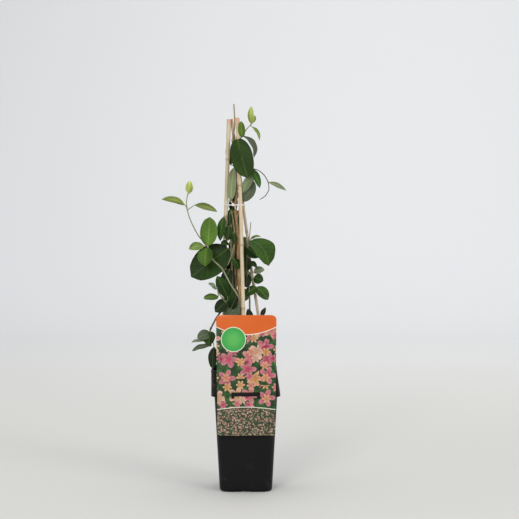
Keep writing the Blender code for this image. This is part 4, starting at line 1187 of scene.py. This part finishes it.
def build_label(print_mat, back_mat):
    """The bowed label card with its print, and the slot for the hook."""
    verts, card_uv = [], []
    for layer in (0, 1):
        for j in range(LABEL_ROWS + 1):
            v = j / LABEL_ROWS
            v = (1 - math.cos(math.pi * v)) / 2 * 0.35 + v * 0.65
            height = LABEL_LOW + (LABEL_TOP - LABEL_LOW) * v
            flat_half = (LABEL_LOW_WIDTH + (LABEL_TOP_WIDTH - LABEL_LOW_WIDTH) * v) / 2
            half = flat_half
            for radius, near in ((LABEL_TOP_CORNER, LABEL_TOP - height),
                                 (LABEL_LOW_CORNER, height - LABEL_LOW)):
                if near < radius:
                    inset = 1 - math.sqrt(max(1 - (1 - near / radius) ** 2, 0.0))
                    half = min(half, flat_half - radius * inset)
            for i in range(LABEL_COLUMNS + 1):
                u = i / LABEL_COLUMNS * 2 - 1
                y = LABEL_FRONT + LABEL_BOW * u * u + 0.4 * math.sin(v * 4) - 0.25
                y += layer * LABEL_SHEET + 0.35 * math.sin(v * 9 + u * 1.5) * (1 - v) * 0.4
                verts.append(((LABEL_CENTRE + u * half) * MM, y * MM, height * MM))
                card_uv.append((u * half, height - LABEL_LOW))
    faces = sheet_faces(LABEL_ROWS + 1, LABEL_COLUMNS + 1)
    label = new_object("label_card_fine", verts, faces, print_mat)
    label.data.materials.append(back_mat)
    set_uv(label, "card", card_uv)
    for face in label.data.polygons:
        if face.normal.y > -0.5:
            face.material_index = 1
    half = HOOK_WIDTH / 2 + SLOT_GAP
    slots = [(-half, half, HOOK_LOW - SLOT_GAP, HOOK_TOP + SLOT_GAP)]
    for side in (-1, 1):
        ends = sorted((side * (half - HOOK_LEG - 2 * SLOT_GAP), side * half))
        slots.append((*ends, HOOK_LEG_LOW - SLOT_GAP, HOOK_LOW))
    for left, right, low, high in slots:
        cut(label, (left, SLOT_FRONT, low), (right, SLOT_BACK, high))
    mark_sharp(label)
    return label


def build_plant():
    """Every leafy stem."""
    blade, skin = leaf_material(), stem_material()
    for name, (stems, leaves) in VINES.items():
        looks = LEAF_LOOKS[name]
        if len(looks) != len(leaves):
            raise ValueError(f"{name} has {len(leaves)} leaves and {len(looks)} looks")
        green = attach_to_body(vine_leaves(name, leaves, looks, blade), "root")
        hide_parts(name)
        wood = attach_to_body(vine_stems(name, stems, leaves, skin), "root")


def build_holder():
    """Pot, soil, canes, string and label."""
    black = pot_material()
    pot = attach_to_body(build_pot(black), "root")
    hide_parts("pot")
    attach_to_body(build_hook(black), "root")
    peat = soil_material()
    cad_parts["soil"].data.materials.clear()
    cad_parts["soil"].data.materials.append(peat)
    for obj in (build_soil(peat), build_crumbs(peat)):
        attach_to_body(obj, "root")
    bamboo = bamboo_material()
    shades = {"cane_front": (0.575, 0.505, 0.365), "cane_left": (0.58, 0.54, 0.40),
              "cane_right": (0.52, 0.46, 0.36)}
    for seed, (name, (radius, points)) in enumerate(CANES.items()):
        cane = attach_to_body(bamboo_cane(name, radius, points, seed + 5, shades[name], bamboo), "root")
        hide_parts(name)
    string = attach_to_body(build_string(string_material()), "root")
    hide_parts("cane_tie")
    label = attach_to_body(build_label(print_material(), card_material()), "root")
    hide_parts("label_card")


def build_studio():
    """Pale floor that curves up into a backdrop."""
    s = Shader("studio_paper")
    # Painted shade: the paper is darker and slightly warmer on the floor, and lighter up the backdrop.
    rise = s.step(s.split(s.coords())[1], 0.9, 3.6)
    s.finish(s.mix(rise, (0.64, 0.636, 0.61), (0.71, 0.717, 0.725)), 0.9, 0.1)
    profile = [(-FLOOR_REACH, 0.0), (SWEEP_START, 0.0)]
    for k in range(1, SWEEP_STEPS + 1):
        angle = math.pi / 2 * k / SWEEP_STEPS
        profile.append((SWEEP_START + SWEEP_RADIUS * math.sin(angle),
                        SWEEP_RADIUS * (1 - math.cos(angle))))
    profile.append((SWEEP_START + SWEEP_RADIUS, BACKDROP_TOP))
    verts = [(side * FLOOR_REACH, y, z) for y, z in profile for side in (-1, 1)]
    faces = grid_faces(len(profile), 2)
    new_object("studio_floor", verts, faces, s.mat)


def area_light(name, place, aim, size, power):
    """A soft square light."""
    data = bpy.data.lights.new(name, "AREA")
    data.shape = "SQUARE"
    data.size = size
    data.energy = power
    light = link_object(name, data)
    light.location = place
    light.rotation_euler = (Vector(aim) - Vector(place)).to_track_quat("-Z", "Y").to_euler()


def build_light_and_camera():
    """Soft studio light and the camera at the photograph's angle."""
    scene = bpy.context.scene
    world = bpy.data.worlds.new("studio_world")
    world.use_nodes = True
    world.node_tree.nodes["Background"].inputs["Color"].default_value = (0.97, 0.98, 1.0, 1.0)
    world.node_tree.nodes["Background"].inputs["Strength"].default_value = 0.7
    scene.world = world
    scene.view_settings.view_transform = "Standard"
    for name, (place, aim, size, power) in LIGHTS.items():
        area_light(name, place, aim, size, power)
    data = bpy.data.cameras.new("camera")
    data.sensor_width = SENSOR_WIDTH
    data.lens = SENSOR_WIDTH * CAMERA_DISTANCE / (PICTURE_WIDTH * MM_PER_PIXEL)
    camera = link_object("camera", data)
    pitch = math.radians(CAMERA_PITCH)
    aim = Vector((CAMERA_AIM[0], 0.0, CAMERA_AIM[1])) * MM
    camera.location = aim + Vector((0.0, -math.cos(pitch), math.sin(pitch))) * CAMERA_DISTANCE * MM
    camera.rotation_euler = (math.radians(90) - pitch, 0.0, 0.0)
    scene.camera = camera


build_plant()
build_holder()
build_studio()
build_light_and_camera()
